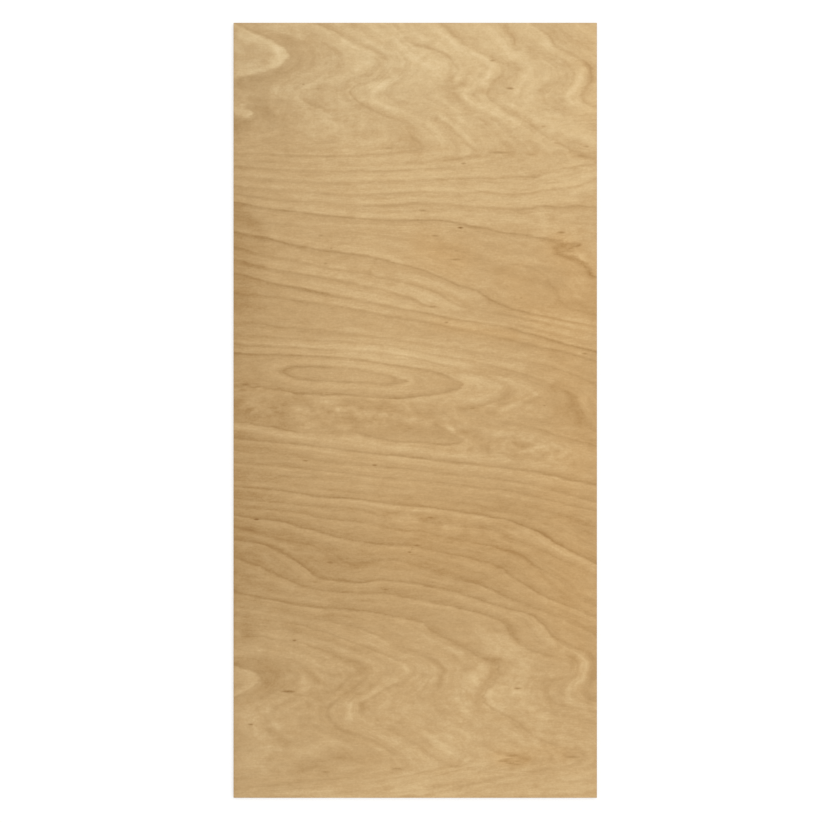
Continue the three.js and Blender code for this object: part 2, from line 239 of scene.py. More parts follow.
BANDS = [                  # levels, half width, then columns and rows from end to end
    # top end: the tongue and the hooked flames
    (12, 4, [(240, 35), (262, 41), (278, 48), (284, 57), (272, 66), (240, 73)]),
    (3, 5, [(236, 42), (252, 47), (266, 54)]),
    (7, 5, [(237, 66), (255, 63)]),
    (5, 7, [(238, 27), (262, 27), (292, 26)]),
    (-9, 6, [(250, 25), (275, 35), (295, 48), (300, 60), (292, 70), (270, 78), (240, 82)]),
    (-6, 9, [(290, 38), (312, 46), (322, 56)]),
    (5, 3, [(235, 104), (244, 106), (249, 112), (244, 115), (235, 116)]),
    (-6, 10, [(262, 104), (280, 118), (290, 130)]),
    (5, 4, [(300, 94), (312, 91)]),
    (9, 5, [(343, 38), (358, 47), (369, 57), (360, 66)]),
    (-3, 3, [(328, 28), (345, 38), (362, 47)]),
    (5, 5, [(318, 26), (332, 33)]),
    (5, 5, [(345, 42), (356, 50)]),
    (9, 3, [(338, 25), (358, 36), (379, 48), (389, 58), (387, 66)]),
    (10, 3.5, [(398, 76), (384, 82), (368, 86), (360, 90), (364, 97), (378, 104), (395, 110)]),
    (8, 4, [(373, 92), (387, 85)]),
    (-9, 3, [(382, 79), (392, 75)]),
    (7, 3, [(370, 25), (385, 35), (396, 43)]),
    (-7, 5.5, [(325, 26), (355, 42), (381, 60), (366, 76), (345, 88), (356, 103), (392, 119), (408, 136)]),
    (-7, 5, [(403, 120), (410, 128), (415, 140), (420, 150)]),
    (-8, 5, [(396, 147), (412, 143)]),
    (7, 7, [(408, 54), (422, 62), (434, 68)]),
    (-6, 3, [(395, 25), (420, 43), (445, 55), (451, 66), (447, 78)]),
    (7, 3, [(437, 45), (451, 56), (458, 66), (455, 76)]),
    (7, 4, [(398, 24), (412, 34), (424, 42)]),
    (10, 3.5, [(428, 123), (435, 133), (443, 143)]),
    (10, 2.5, [(441, 117), (450, 123), (458, 130), (465, 138), (475, 145)]),
    (-7, 3.5, [(436, 120), (446, 128), (453, 136), (457, 143)]),
    (6, 4, [(452, 107), (462, 117), (470, 126)]),
    (-6, 4, [(484, 128), (497, 142), (507, 151)]),
    (9, 4, [(438, 30), (448, 39), (460, 47), (474, 54), (486, 60), (491, 68), (486, 77), (476, 84),
        (466, 90), (464, 97), (474, 104), (490, 109), (512, 119)]),
    (6, 8, [(478, 27), (498, 42), (512, 56)]),
    (-6, 5, [(442, 24), (455, 34), (470, 45)]),
    (-7, 4, [(492, 58), (508, 61), (519, 66)]),
    (-6, 4, [(502, 75), (490, 84), (485, 91), (492, 99)]),
    (8, 5, [(488, 96), (505, 101), (525, 113), (550, 130)]),
    (8, 6, [(522, 62), (529, 70), (522, 82), (516, 92)]),
    (6, 7, [(545, 76), (530, 88), (530, 99)]),
    (-8, 4, [(504, 28), (510, 38), (516, 48)]),
    (-5, 4, [(545, 85), (540, 95), (550, 105), (570, 113)]),
    (6, 8, [(545, 115), (570, 128), (592, 140)]),
    (4, 4, [(545, 40), (556, 52), (568, 61)]),
    (11, 4, [(584, 70), (579, 78), (575, 87), (568, 95), (570, 101), (580, 106), (594, 110)]),
    (-7, 11, [(556, 28), (585, 45)]),
    (-8, 5, [(558, 54), (575, 67)]),
    (-6, 5, [(592, 68), (590, 82)]),
    (-9, 4, [(560, 150), (592, 160)]),
    (-10, 2.5, [(489, 152), (500, 151), (512, 153)]),
    (-10, 8, [(235, 124), (243, 126)]),
    (-6, 5, [(265, 114), (285, 116)]),
    (-5, 5, [(312, 87), (332, 88)]),
    (10, 4, [(276, 50), (278, 56), (273, 61)]),
    (-5, 3, [(238, 71), (262, 67), (282, 66)]),
    (8, 2.5, [(298, 32), (299, 36)]),
    (-5, 4, [(309, 54), (311, 67)]),
    (-5, 3, [(322, 42), (332, 50), (342, 56)]),
    (-6, 2.5, [(336, 61), (337, 67)]),
    (7, 2.5, [(303, 87), (312, 86), (320, 81)]),
    (-8, 3, [(308, 102), (316, 104)]),
    (-6, 2, [(318, 106), (330, 112), (346, 118)]),
    (-5, 4, [(278, 101), (292, 106), (300, 112)]),
    (-7, 1.4, [(285, 151), (330, 151), (370, 150.5), (395, 148), (412, 147.5)]),
    (-8, 2.2, [(401, 135), (399, 140)]),
    (8, 1.8, [(392, 138), (397, 142), (405, 146)]),
    (5, 3, [(250, 112), (243, 118)]),
    (6, 2, [(360, 23), (375, 32), (387, 40)]),
    (-6, 3, [(352, 23), (366, 29)]),
    (-6, 3, [(473, 47), (483, 53), (490, 58)]),
    (-9, 2.5, [(512, 33), (516, 41)]),
    (-5, 3, [(522, 38), (530, 48)]),
    (-7, 2.5, [(527, 52), (536, 57)]),
    (4, 2.5, [(543, 36), (552, 46), (562, 53), (573, 58)]),
    (-9, 4, [(563, 61), (570, 66), (574, 74)]),
    (-6, 6, [(452, 82), (450, 97)]),
    (-4, 7, [(466, 64), (466, 78)]),
    (-4, 7, [(470, 108), (490, 117)]),
    (-7, 1.8, [(405, 162), (432, 161), (455, 158.5), (478, 155.5)]),
    (-9, 3, [(451, 158), (459, 158)]),
    (-8, 2, [(478, 156), (495, 156)]),
    (-7, 3, [(529, 153), (535, 154)]),
    (-7, 2.5, [(575, 156), (585, 156)]),
    (-8, 2.5, [(524, 119), (534, 121)]),
    (-6, 2.5, [(500, 143), (518, 147)]),
    (-6, 2, [(543, 139), (556, 144)]),
    (-5, 4, [(510, 108), (520, 116)]),
    (6, 2.5, [(552, 147), (567, 151)]),
    # middle: the long lines
    (6, 9, [(548, 180), (572, 179), (594, 172)]),
    (8, 3, [(572, 191), (594, 185)]),
    (5, 5, [(470, 196), (520, 200), (575, 198)]),
    (5, 5, [(296, 196), (312, 205)]),
    (-6, 3, [(545, 206), (592, 203)]),
    (8, 4, [(480, 216), (510, 219), (540, 223), (575, 227)]),
    (-5, 3, [(475, 226), (500, 227), (530, 231)]),
    (5, 4, [(266, 228), (300, 231), (322, 235)]),
    (-7, 4, [(236, 244), (252, 249), (272, 255)]),
    (-8, 13, [(236, 205), (238, 250), (236, 300)]),
    (-8, 7, [(237, 210), (252, 222), (262, 235)]),
    (-5, 5, [(556, 247), (578, 247)]),
    (-8, 6, [(582, 247), (588, 262), (592, 285)]),
    (-7, 3, [(530, 267), (560, 272), (585, 272)]),
    (-11, 9, [(552, 284), (570, 298), (592, 307)]),
    (-4, 10, [(420, 242), (450, 250), (480, 264), (500, 276)]),
    (6, 3, [(262, 259), (300, 267), (345, 275)]),
    (5, 3, [(300, 279), (340, 288), (380, 297)]),
    (6, 4, [(398, 273), (430, 283), (455, 293)]),
    (8, 4, [(400, 285), (425, 294), (440, 300), (455, 306)]),
    (7, 4, [(462, 294), (480, 298)]),
    (-5, 3, [(485, 296), (500, 303), (530, 312)]),
    (-4, 10, [(390, 322), (430, 328), (470, 335), (520, 342), (560, 350)]),
    (-6, 10, [(505, 334), (550, 343), (592, 352)]),
    (-6, 10, [(556, 362), (592, 374)]),
    (8, 6, [(272, 344), (320, 346), (370, 350), (420, 356), (462, 363)]),
    (-9, 2.2, [(557, 254.5), (572, 259), (584, 265.5), (593, 275)]),
    (-8, 3, [(235, 291), (254, 292)]),
    (-6, 3, [(242, 305), (264, 307)]),
    (-7, 4, [(246, 264), (262, 268)]),
    (-9, 1.3, [(376, 259), (371, 267), (369, 273)]),
    (-7, 2, [(362, 271.5), (372, 273)]),
    (-5, 3, [(438, 243), (455, 246), (472, 251), (479, 256)]),
    (-6, 4, [(495, 267), (515, 273), (532, 280), (545, 283)]),
    (-8, 4, [(557, 302), (570, 306), (584, 309)]),
    (6, 4, [(566, 293), (578, 299)]),
    (-7, 3, [(385, 275), (410, 280.5), (430, 286), (444, 291.5), (456, 300), (470, 305.5), (490, 309.5),
        (520, 314), (533, 316)]),
    (-6, 3, [(405, 261), (430, 268.5), (450, 276), (470, 283), (490, 293), (510, 303), (530, 308.5)]),
    # the eyes and the chevron
    (8, 5, [(465, 378), (485, 383), (500, 389), (490, 397), (470, 400), (445, 403)]),
    (14, 1.6, [(500, 377), (512, 380.5), (522, 384), (530, 388.5), (535.5, 393.5)]),
    (12, 1.6, [(535.5, 393.5), (530, 397), (515, 403.5), (501, 411)]),
    (-5, 8, [(530, 396), (550, 400), (560, 410)]),
    (-3, 5, [(508, 392), (518, 399)]),
    (-12, 6, [(556, 385), (566, 391), (573, 400), (577, 410), (579, 421)]),
    (-6, 5, [(580, 424), (592, 440)]),
    (-6, 4, [(445, 404), (470, 408), (490, 402.5), (506, 396)]),
    (-5, 4, [(480, 411), (520, 419), (560, 428)]),
    (-7, 8, [(240, 402), (262, 398), (283, 402)]),
    (-5, 6, [(250, 418), (283, 420)]),
    (12, 4, [(248, 400), (260, 398)]),
    (-9, 4, [(288, 399), (302, 400)]),
    (10, 4, [(295, 402), (300, 411), (306, 422)]),
    (10, 4.5, [(316, 402), (332, 402), (342, 411)]),
    (-8, 4, [(345, 404), (362, 403), (380, 405)]),
    (8, 4, [(352, 412), (366, 416)]),
    (-5, 3, [(335, 420), (350, 418)]),
    (-7, 4, [(374, 409), (398, 411)]),
    (-8, 3.5, [(385, 404), (396, 408)]),
    (8, 3, [(405, 397), (408, 408)]),
    (9, 3, [(402, 419), (416, 421), (430, 421)]),
    (-8, 4, [(410, 412), (430, 413)]),
    (-5, 3, [(410, 405), (416, 412)]),
    (-4, 4, [(380, 428), (408, 430), (440, 433)]),
    (-9, 2.2, [(420, 417.5), (432, 419), (443, 421), (451, 423), (456, 427), (459, 432)]),
    (9, 3, [(235, 427), (262, 433), (300, 435), (345, 439), (380, 445), (420, 450)]),
    (7, 4, [(300, 424), (322, 426), (345, 428)]),
    (6, 4, [(262, 439), (310, 442), (360, 446)]),
    (6, 3, [(362, 451), (400, 459)]),
    (7, 4, [(420, 453), (470, 458), (530, 462)]),
    (-4, 3, [(400, 447), (440, 448), (464, 444)]),
    (5, 4, [(465, 425), (490, 432), (520, 436)]),
    (8, 4, [(530, 448), (545, 442), (562, 447), (592, 458)]),
    (8, 6, [(532, 446), (550, 456), (566, 463)]),
    (-7, 2.5, [(464, 431), (475, 437), (490, 441), (510, 441), (525, 445), (535, 442)]),
    (-7, 2.5, [(508, 456), (525, 461), (540, 458), (548, 454)]),
    (-6, 3, [(480, 443), (490, 450)]),
    (6, 3, [(475, 452), (500, 455), (540, 464), (592, 477)]),
    (-6, 1.8, [(478, 370), (490, 372), (505, 376)]),
    (8, 3, [(560, 391), (567, 398)]),
    (6, 1.8, [(508, 415), (525, 419), (545, 424), (570, 430)]),
    (-8, 1.5, [(235, 389.3), (262, 390.5), (285, 392)]),
    (9, 4, [(252, 403), (258, 407)]),
    (8, 4, [(288, 397), (288, 401)]),
    (5, 4, [(268, 394), (269, 398)]),
    (-8, 3, [(295, 396), (296, 403)]),
    (10, 3, [(303, 406), (307, 412)]),
    (7, 3, [(294, 411), (296, 416)]),
    (8, 3, [(319, 410), (322, 411)]),
    (7, 2.5, [(347, 406), (355, 407)]),
    (-6, 3, [(314, 402), (320, 404)]),
    (-6, 2.5, [(336, 403), (345, 408), (354, 411)]),
    (-7, 4, [(345, 416), (352, 420), (359, 423)]),
    (-12, 3, [(299, 423), (304, 424)]),
    (-10, 3.5, [(322, 426), (333, 428)]),
    (-7, 4, [(402, 412), (400, 424)]),
    (-9, 3, [(406, 427), (420, 425)]),
    (8, 3, [(407, 409), (413, 413)]),
    (6, 2.5, [(389, 416), (395, 417)]),
    (9, 4, [(236, 423), (246, 423)]),
    (8, 3.5, [(250, 426), (268, 427)]),
    (-8, 2, [(318, 435.5), (338, 438)]),
    (-7, 2, [(375, 441), (395, 446)]),
    (-7, 1.8, [(235, 443), (262, 446), (275, 446.5)]),
    (-6, 2, [(235, 430), (250, 433), (272, 436)]),
    (-9, 3.5, [(465, 429), (475, 430)]),
    (-7, 3, [(463, 434), (471, 438)]),
    (7, 2.2, [(450, 428), (452, 431)]),
    (-7, 2.2, [(434, 423), (445, 430), (453, 435), (458, 439)]),
    (11, 3, [(524, 439), (531, 438)]),
    (-6, 3, [(527, 446), (533, 444)]),
    (-7, 1.7, [(411, 448), (419, 448.7)]),
    (-7, 1.8, [(434, 448), (435, 450)]),
    (-10, 1.8, [(448, 449.5), (452, 450.5)]),
    (-7, 2, [(468, 450), (471, 451)]),
    (-6, 3, [(487, 447), (489, 453)]),
    (-9, 2.2, [(568, 463), (574, 463.5)]),
    (-6, 2, [(556, 414), (558, 417)]),
    (-6, 2, [(380, 401), (407, 401.5)]),
    # lower half: the long flames
    (-6, 4, [(235, 490), (290, 493)]),
    (-5, 4, [(330, 491), (370, 495), (400, 499), (440, 503), (500, 510)]),
    (5, 2, [(300, 496), (345, 500), (385, 507), (430, 511)]),
    (-7, 7, [(500, 504), (527, 512)]),
    (-6, 4, [(560, 515), (592, 527)]),
    (9, 4, [(528, 534), (548, 546), (570, 557), (592, 567)]),
    (-6, 4, [(498, 522), (520, 527), (536, 536)]),
    (8, 3, [(393, 518), (420, 519)]),
    (9, 3, [(444, 526), (462, 527)]),
    (-6, 3, [(418, 517), (436, 517)]),
    (-7, 5, [(235, 528), (250, 530)]),
    (-6, 3.5, [(430, 536), (465, 542), (500, 548), (522, 558), (545, 577), (570, 598)]),
    (-5, 5, [(290, 541), (310, 545), (330, 553), (350, 563), (372, 562)]),
    (-6, 5, [(325, 558), (348, 566), (380, 564), (410, 566), (440, 573)]),
    (-4, 6, [(420, 562), (450, 573), (480, 580), (500, 590)]),
    (-5, 5, [(385, 588), (430, 591), (480, 583)]),
    (6, 4, [(237, 566), (262, 576), (290, 588)]),
    (7, 5, [(240, 591), (270, 595), (300, 598), (325, 601)]),
    (6, 6, [(238, 604), (262, 611)]),
    (5, 4, [(236, 577), (262, 586)]),
    (-5, 2, [(235, 572), (250, 579), (265, 584)]),
    (-5, 6, [(330, 614), (370, 616), (405, 620)]),
    (10, 3.5, [(517, 532), (526, 532)]),
    (-8, 3, [(503, 537), (510, 540)]),
    (-9, 2, [(415, 534), (425, 535.5)]),
    (7, 2.5, [(444, 526), (461, 527)]),
    (-8, 4, [(463, 526), (465, 531)]),
    (-7, 4, [(481, 527), (482, 533)]),
    (-7, 3, [(492, 565), (500, 570)]),
    # the hooks again
    (10, 3, [(236, 632), (238, 637)]),
    (-6, 4, [(245, 626), (247, 636)]),
    (6, 5, [(262, 634), (300, 640)]),
    (10, 5, [(236, 677), (247, 679)]),
    (11, 6, [(237, 651), (256, 649)]),
    (9, 5, [(288, 653), (308, 660), (330, 669)]),
    (-8, 3.5, [(283, 625), (318, 634), (348, 643), (376, 652)]),
    (6, 2, [(290, 622), (320, 630), (345, 638)]),
    (-6, 3.5, [(392, 646), (420, 655), (436, 663)]),
    (-6, 4, [(412, 622), (428, 633), (446, 648)]),
    (8, 4, [(425, 636), (442, 645), (460, 652)]),
    (6, 9, [(478, 628), (497, 637), (518, 648)]),
    (7, 5, [(483, 638), (492, 650), (515, 657), (540, 662)]),
    (-5, 5, [(543, 638), (558, 650), (572, 659)]),
    (-8, 5, [(593, 658), (590, 676)]),
    (-8, 5, [(576, 690), (592, 702)]),
    (-6, 8, [(562, 615), (592, 634)]),
    (11, 4, [(579, 657), (584, 664), (584, 672), (577, 681), (568, 689), (566, 697), (575, 704),
        (592, 708)]),
    (10, 4.5, [(482, 667), (471, 676), (463, 687), (460, 698), (467, 709)]),
    (12, 4, [(495, 684), (489, 692), (489, 702), (501, 709)]),
    (7, 12, [(518, 668), (510, 690), (530, 704)]),
    (12, 4, [(348, 704), (346, 711), (350, 718)]),
    (7, 3, [(379, 683), (368, 695)]),
    (6, 3, [(386, 700), (378, 710), (386, 720)]),
    (-6, 6, [(396, 728), (414, 737), (428, 745)]),
    (11, 2.8, [(425, 733), (437, 742), (450, 752), (466, 761)]),
    (6, 5, [(300, 755), (320, 745), (336, 742)]),
    (12, 5, [(237, 670), (248, 673), (256, 680), (249, 687), (238, 693)]),
    (7, 4, [(290, 674), (302, 679), (300, 686)]),
    (-8, 3, [(304, 667), (313, 674), (317, 683)]),
    (-7, 6, [(262, 664), (276, 675), (270, 686), (257, 696), (240, 703)]),
    (9, 20, [(247, 714), (258, 742), (246, 764)]),
    (7, 9, [(272, 702), (290, 712), (282, 728)]),
    (-6, 4, [(268, 730), (286, 742)]),
    (-7, 5, [(345, 657), (361, 668), (357, 679), (342, 690), (328, 701), (323, 711), (329, 724), (352, 737),
        (376, 746), (390, 754)]),
    (-7, 6, [(345, 754), (372, 754), (394, 763)]),
    (-6, 4, [(288, 770), (335, 768)]),
    (-7, 5, [(430, 628), (450, 642), (470, 652), (485, 658), (508, 660)]),
    (-7, 4, [(494, 664), (494, 674), (486, 682), (478, 690), (476, 698), (480, 706)]),
    (-3, 5, [(505, 619), (512, 632), (520, 645), (540, 655)]),
    (-6, 4, [(571, 661), (560, 675), (546, 685), (545, 697), (560, 705)]),
    (-6, 9, [(558, 714), (592, 724)]),
    (-6, 7, [(515, 760), (540, 757), (568, 754)]),
    (-7, 3, [(425, 787), (465, 781), (510, 773)]),
    (6, 6, [(396, 790), (424, 784)]),
    (7, 4, [(235, 793), (330, 792)]),
    (7, 4, [(420, 794), (455, 792)]),
    (7, 4, [(530, 793), (592, 791)]),
    (6, 5, [(565, 778), (592, 774)]),
    (-6, 5, [(443, 765), (460, 764)]),
    (-12, 1.8, [(498, 752), (512, 754), (527, 759)]),
    (-12, 1.8, [(498, 762), (511, 761)]),
    (-7, 3, [(511, 767), (523, 763)]),
    (-8, 2.5, [(563, 754), (579, 757.5)]),
    (-6, 4, [(340, 757), (360, 762), (380, 760)]),
    (-6, 3, [(300, 779), (340, 776), (362, 771)]),
    (6, 2, [(303, 640), (325, 644), (345, 650)]),
    (-6, 2, [(305, 644), (325, 652), (345, 661), (358, 667)]),
    (-5, 3, [(358, 670), (345, 680), (335, 690)]),
    (-7, 4, [(359, 704), (361, 712)]),
    (-7, 2.5, [(377, 682), (368, 689), (358, 697)]),
    (8, 2.5, [(267, 710), (271, 718), (276, 726)]),
    (6, 2.5, [(301, 712), (307, 712)]),
    (5, 4, [(262, 650), (280, 655)]),
    (-5, 6, [(302, 765), (322, 764)]),
    (-6, 2, [(318, 759), (338, 758)]),
    (-6, 4, [(485, 711), (500, 718), (530, 729)]),
    (9, 3.5, [(541, 634), (547, 640), (553, 645)]),
    (-8, 3, [(545, 655), (560, 661)]),
    (-8, 3, [(566, 653), (577, 661)]),
    (9, 4, [(472, 676), (476, 682)]),
    (-7, 3, [(436, 647), (452, 655)]),
    (6, 2, [(421, 652), (432, 658)]),
    (7, 2, [(484, 627), (489, 634), (490, 640), (498, 647)]),
    (-6, 2.5, [(487, 629), (502, 630)]),
    (-8, 2.5, [(508, 626), (511, 634), (517, 642)]),
    (6, 2.5, [(520, 688), (510, 695), (508, 703), (516, 709)]),
    (-6, 2.5, [(514, 724), (522, 733), (530, 740)]),
    (-7, 2.5, [(541, 743), (556, 748)]),
    (6, 2.5, [(430, 741), (434, 744)]),
    (7, 2.5, [(446, 733), (450, 737)]),
    (6, 3, [(458, 722), (468, 731), (478, 740)]),
    (-8, 2.5, [(452, 756), (462, 759)]),
    (-5, 3, [(404, 742), (415, 752)]),
    (-8, 2.5, [(533, 786), (538, 785)]),
    (-8, 1.8, [(541, 790), (565, 787)]),
    (-8, 1.8, [(494, 658.5), (501, 658.5)]),
    # the last corrections, from the top
    (6, 6, [(238, 47), (240, 58)]), (5, 5, [(237, 72), (237, 80)]), (5, 5, [(301, 50), (302, 56)]),
    (4, 4, [(322, 38), (334, 46)]), (4, 6, [(344, 50), (348, 58)]), (9, 3.5, [(354, 85), (354, 92)]),
    (-9, 3.5, [(361, 91), (366, 97)]), (6, 4, [(288, 86), (292, 97)]), (7, 5, [(308, 86), (309, 95)]),
    (-5, 3.5, [(382, 62), (376, 78)]), (-9, 4, [(398, 72), (400, 79)]), (-5, 3, [(425, 82), (433, 82)]),
    (4, 4, [(446, 60), (454, 66), (456, 76)]), (-7, 4, [(482, 26), (490, 38), (499, 48)]),
    (8, 5, [(487, 45), (495, 52), (505, 57)]), (-8, 2, [(548, 35), (556, 46), (568, 54), (580, 62),
        (589, 67)]),
    (-5, 3, [(533, 26), (545, 36), (553, 43)]), (-9, 4, [(585, 63), (589, 68), (588, 78)]),
    (8, 5, [(560, 60), (570, 64), (574, 74)]), (-6, 4, [(467, 86), (470, 95)]), (-7, 4, [(481, 91),
        (486, 97)]),
    (-5, 3, [(427, 119), (434, 131)]), (-6, 5, [(447, 110), (452, 122)]), (-5, 3.5, [(453, 128),
        (461, 139)]),
    (-7, 3.5, [(466, 123), (477, 132), (486, 142)]), (-6, 3.5, [(504, 112), (508, 120)]),
    (-6, 3.5, [(520, 108), (527, 117), (538, 123), (556, 125), (576, 130)]), (-8, 5, [(531, 130),
        (533, 148)]),
    (-5, 4, [(538, 148), (550, 154), (561, 160)]), (-10, 4, [(439, 147), (446, 146)]),
    (7, 4, [(363, 124), (371, 129)]), (-5, 4, [(388, 132), (391, 137)]), (4, 3, [(341, 118), (349, 117)]),
    (4, 4, [(566, 136), (586, 139)]), (-9, 4, [(236, 127), (238, 139)]), (-9, 4, [(235, 170), (242, 170)]),
    (-6, 3, [(240, 190), (268, 193), (301, 198)]), (-4, 3, [(378, 177), (406, 177)]),
    (-6, 3.5, [(454, 173), (461, 178)]), (5, 3.5, [(424, 194), (452, 192)]), (5, 4.5, [(456, 212),
        (474, 213)]),
    (4, 4, [(478, 189), (502, 189)]), (6, 4, [(512, 179), (520, 178)]), (8, 5, [(541, 216), (544, 229)]),
    (6, 5, [(558, 217), (568, 219)]), (4, 5, [(590, 185), (592, 190)]), (6, 5, [(592, 206), (592, 232)]),
    (9, 5, [(582, 255), (588, 268)]), (-6, 4, [(549, 243), (555, 252)]), (-5, 5, [(484, 251), (502, 251)]),
    (-6, 4, [(244, 257), (262, 262)]), (-5, 4, [(252, 247), (262, 248)]), (-7, 4, [(246, 278), (256, 280)]),
    (-4, 4, [(321, 262), (323, 270)]), (-7, 5, [(532, 302), (540, 308)]), (-5, 4, [(545, 311), (562, 317)]),
    (4, 4, [(516, 310), (532, 314)]), (-6, 5, [(593, 313), (593, 338)]), (-7, 4, [(587, 352), (594, 354)]),
    (-6, 3.5, [(524, 370), (540, 377)]), (4, 3.5, [(500, 364), (522, 368)]), (-10, 3.5, [(243, 382),
        (256, 381)]),
    (6, 5, [(333, 413), (350, 406)]), (-5, 4, [(456, 400), (459, 412)]), (-6, 8, [(238, 405), (242, 428)]),
    (-6, 4, [(500, 403), (515, 400)]), (-6, 4, [(524, 404), (545, 403)]),
    (5, 5, [(548, 408), (556, 418)]), (-6, 4, [(566, 405), (569, 420)]), (5, 3, [(302, 428), (328, 430)]),
    (6, 3, [(344, 432), (358, 434)]), (5, 3, [(376, 450), (416, 452)]), (7, 4, [(446, 419), (449, 424)]),
    (-10, 3, [(466, 440), (470, 441)]), (5, 4, [(466, 450), (469, 456)]), (-5, 4, [(480, 436), (481, 455)]),
    (4, 4, [(500, 434), (516, 434)]), (-5, 3.5, [(556, 429), (576, 437), (592, 447)]),
    (5, 3, [(578, 429), (594, 436)]), (5, 7, [(530, 477), (575, 485)]), (-7, 4, [(234, 476), (244, 476)]),
    (5, 3, [(240, 488), (268, 490), (296, 494)]), (-5, 3, [(236, 495), (262, 496)]),
    (-7, 4, [(385, 514), (402, 512)]), (-7, 3, [(418, 519), (446, 519)]), (-6, 4, [(384, 527), (393, 529)]),
    (-5, 3, [(392, 500), (412, 500)]), (-5, 3, [(416, 493), (428, 495)]), (-5, 3, [(438, 486), (447, 487)]),
    (-6, 4, [(538, 511), (560, 516), (580, 522), (594, 538)]), (-6, 3, [(522, 520), (545, 528),
        (560, 533)]),
    (-7, 3, [(545, 537), (560, 545)]), (-8, 3.5, [(492, 547), (508, 551), (520, 558), (528, 564)]),
    (6, 4, [(532, 563), (548, 573), (560, 583), (572, 591)]), (7, 4, [(306, 536), (316, 540)]),
    (4, 3, [(322, 541), (340, 549)]), (5, 3, [(340, 556), (352, 558)]),
    (-6, 3.5, [(256, 544), (270, 549), (280, 551)]), (-5, 4, [(278, 537), (290, 540)]),
    (10, 5, [(266, 558), (276, 570)]), (5, 5, [(304, 578), (308, 590)]),
    (-5, 4, [(366, 590), (384, 594), (402, 599)]), (-5, 3.5, [(562, 598), (580, 604), (595, 608)]),
    (-6, 3.5, [(515, 603), (532, 609), (548, 613), (556, 624), (559, 640)]),
    (5, 3.5, [(560, 618), (576, 626), (594, 636)]), (-7, 4, [(348, 628), (356, 630)]),
    (4, 3.5, [(398, 621), (420, 627)]), (6, 3, [(338, 636), (356, 641), (375, 647), (392, 654)]),
    (-5, 3, [(338, 643), (360, 650)]), (9, 5, [(404, 666), (410, 675)]), (7, 4, [(420, 668), (430, 672)]),
    (-7, 2.5, [(428, 658), (437, 662), (440, 669), (439, 678)]),
    (7, 2.5, [(434, 656), (447, 666), (447, 674), (443, 684), (439, 690)]), (-7, 4, [(456, 661),
        (461, 668)]),
    (7, 4.5, [(304, 663), (314, 673), (328, 682)]), (7, 4.5, [(336, 682), (335, 689)]),
    (-6, 4, [(288, 668), (298, 676)]), (9, 4.5, [(333, 700), (332, 720)]), (-6, 5, [(284, 707),
        (296, 711)]),
    (-8, 4, [(468, 669), (480, 669)]), (-9, 4, [(491, 664), (491, 677), (484, 687), (479, 700)]),
    (-8, 4.5, [(469, 697), (478, 703)]), (8, 5, [(562, 652), (568, 660)]), (-9, 4, [(580, 648),
        (587, 652)]),
    (-7, 4, [(579, 675), (588, 677)]), (5, 6, [(532, 632), (544, 642)]), (6, 4, [(551, 691), (558, 702)]),
    (-10, 4, [(426, 732), (430, 739)]), (-5, 4, [(418, 747), (430, 754)]),
    (-8, 3.5, [(471, 745), (483, 750), (491, 760)]), (-9, 4, [(540, 765), (552, 761)]),
    (-5, 4, [(530, 737), (562, 740)]), (9, 4.5, [(262, 769), (276, 767), (290, 768)]),
    (-6, 4, [(362, 759), (370, 757)]), (5, 4, [(392, 782), (408, 777)]), (-6, 5, [(588, 791), (594, 790)]),
    (-8, 4, [(311, 24), (318, 26)]), (-7, 5, [(343, 25), (362, 28), (374, 36), (386, 42)]),
    (-8, 3, [(564, 55), (575, 59)]), (-9, 4, [(585, 66), (586, 72)]), (-5, 3.5, [(250, 99), (257, 106),
        (262, 116)]),
    (-6, 4, [(584, 112), (594, 112)]), (6, 4, [(572, 251), (577, 257)]), (-6, 5, [(592, 202), (593, 209)]),
    (-6, 5, [(543, 299), (551, 305)]), (-5, 5, [(286, 146), (289, 160)]), (-5, 4, [(403, 148), (413, 148)]),
    (-5, 4, [(466, 142), (474, 146)]), (-6, 2.5, [(347, 84), (346, 92)]), (-5, 3.5, [(480, 333),
        (490, 336)]),
    (7, 4, [(237, 393), (239, 401)]), (-3, 4, [(474, 409), (492, 411)]), (3, 4, [(509, 386),
        (511, 395)]), (-7, 5, [(592, 398), (592, 428)]),
    (-6, 3, [(390, 650), (408, 651)]), (-6, 3, [(430, 652), (448, 660)]), (-6, 3, [(471, 674), (477, 672)]),
    (-7, 4, [(494, 686), (510, 677)]), (-6, 4, [(515, 663), (524, 657)]), (-6, 4, [(484, 624), (490, 636)]),
    (-5, 3.5, [(528, 700), (535, 710)]), (5, 10, [(545, 718), (562, 722)]), (-7, 4, [(588, 704),
        (594, 716)]),
    (-5, 5, [(567, 755), (578, 750)]), (-5, 4, [(532, 760), (535, 790)]), (6, 4, [(240, 548), (262, 546)]),
    (7, 2.5, [(280, 546), (284, 550)]), (4, 7, [(304, 442), (342, 448)]), (-6, 2.5, [(514, 473),
        (530, 475)]),
    (6, 4, [(558, 511), (565, 512)]), (-5, 4, [(574, 524), (590, 535)]), (8, 4, [(592, 572), (594, 580)]),
    (-5, 3, [(563, 591), (576, 600)]), (4, 9, [(290, 750), (318, 748)]), (6, 4, [(430, 781), (440, 781)]),
    (6, 5, [(237, 612), (239, 618)]), (4, 7, [(268, 608), (282, 618)]), (5, 4, [(236, 686), (244, 682)]),
    (3, 24, [(345, 360), (395, 362)]), (2, 20, [(430, 340), (480, 350)]), (2, 18, [(262, 630), (290, 670)]),
    (1.5, 26, [(450, 60), (560, 80)]),
]

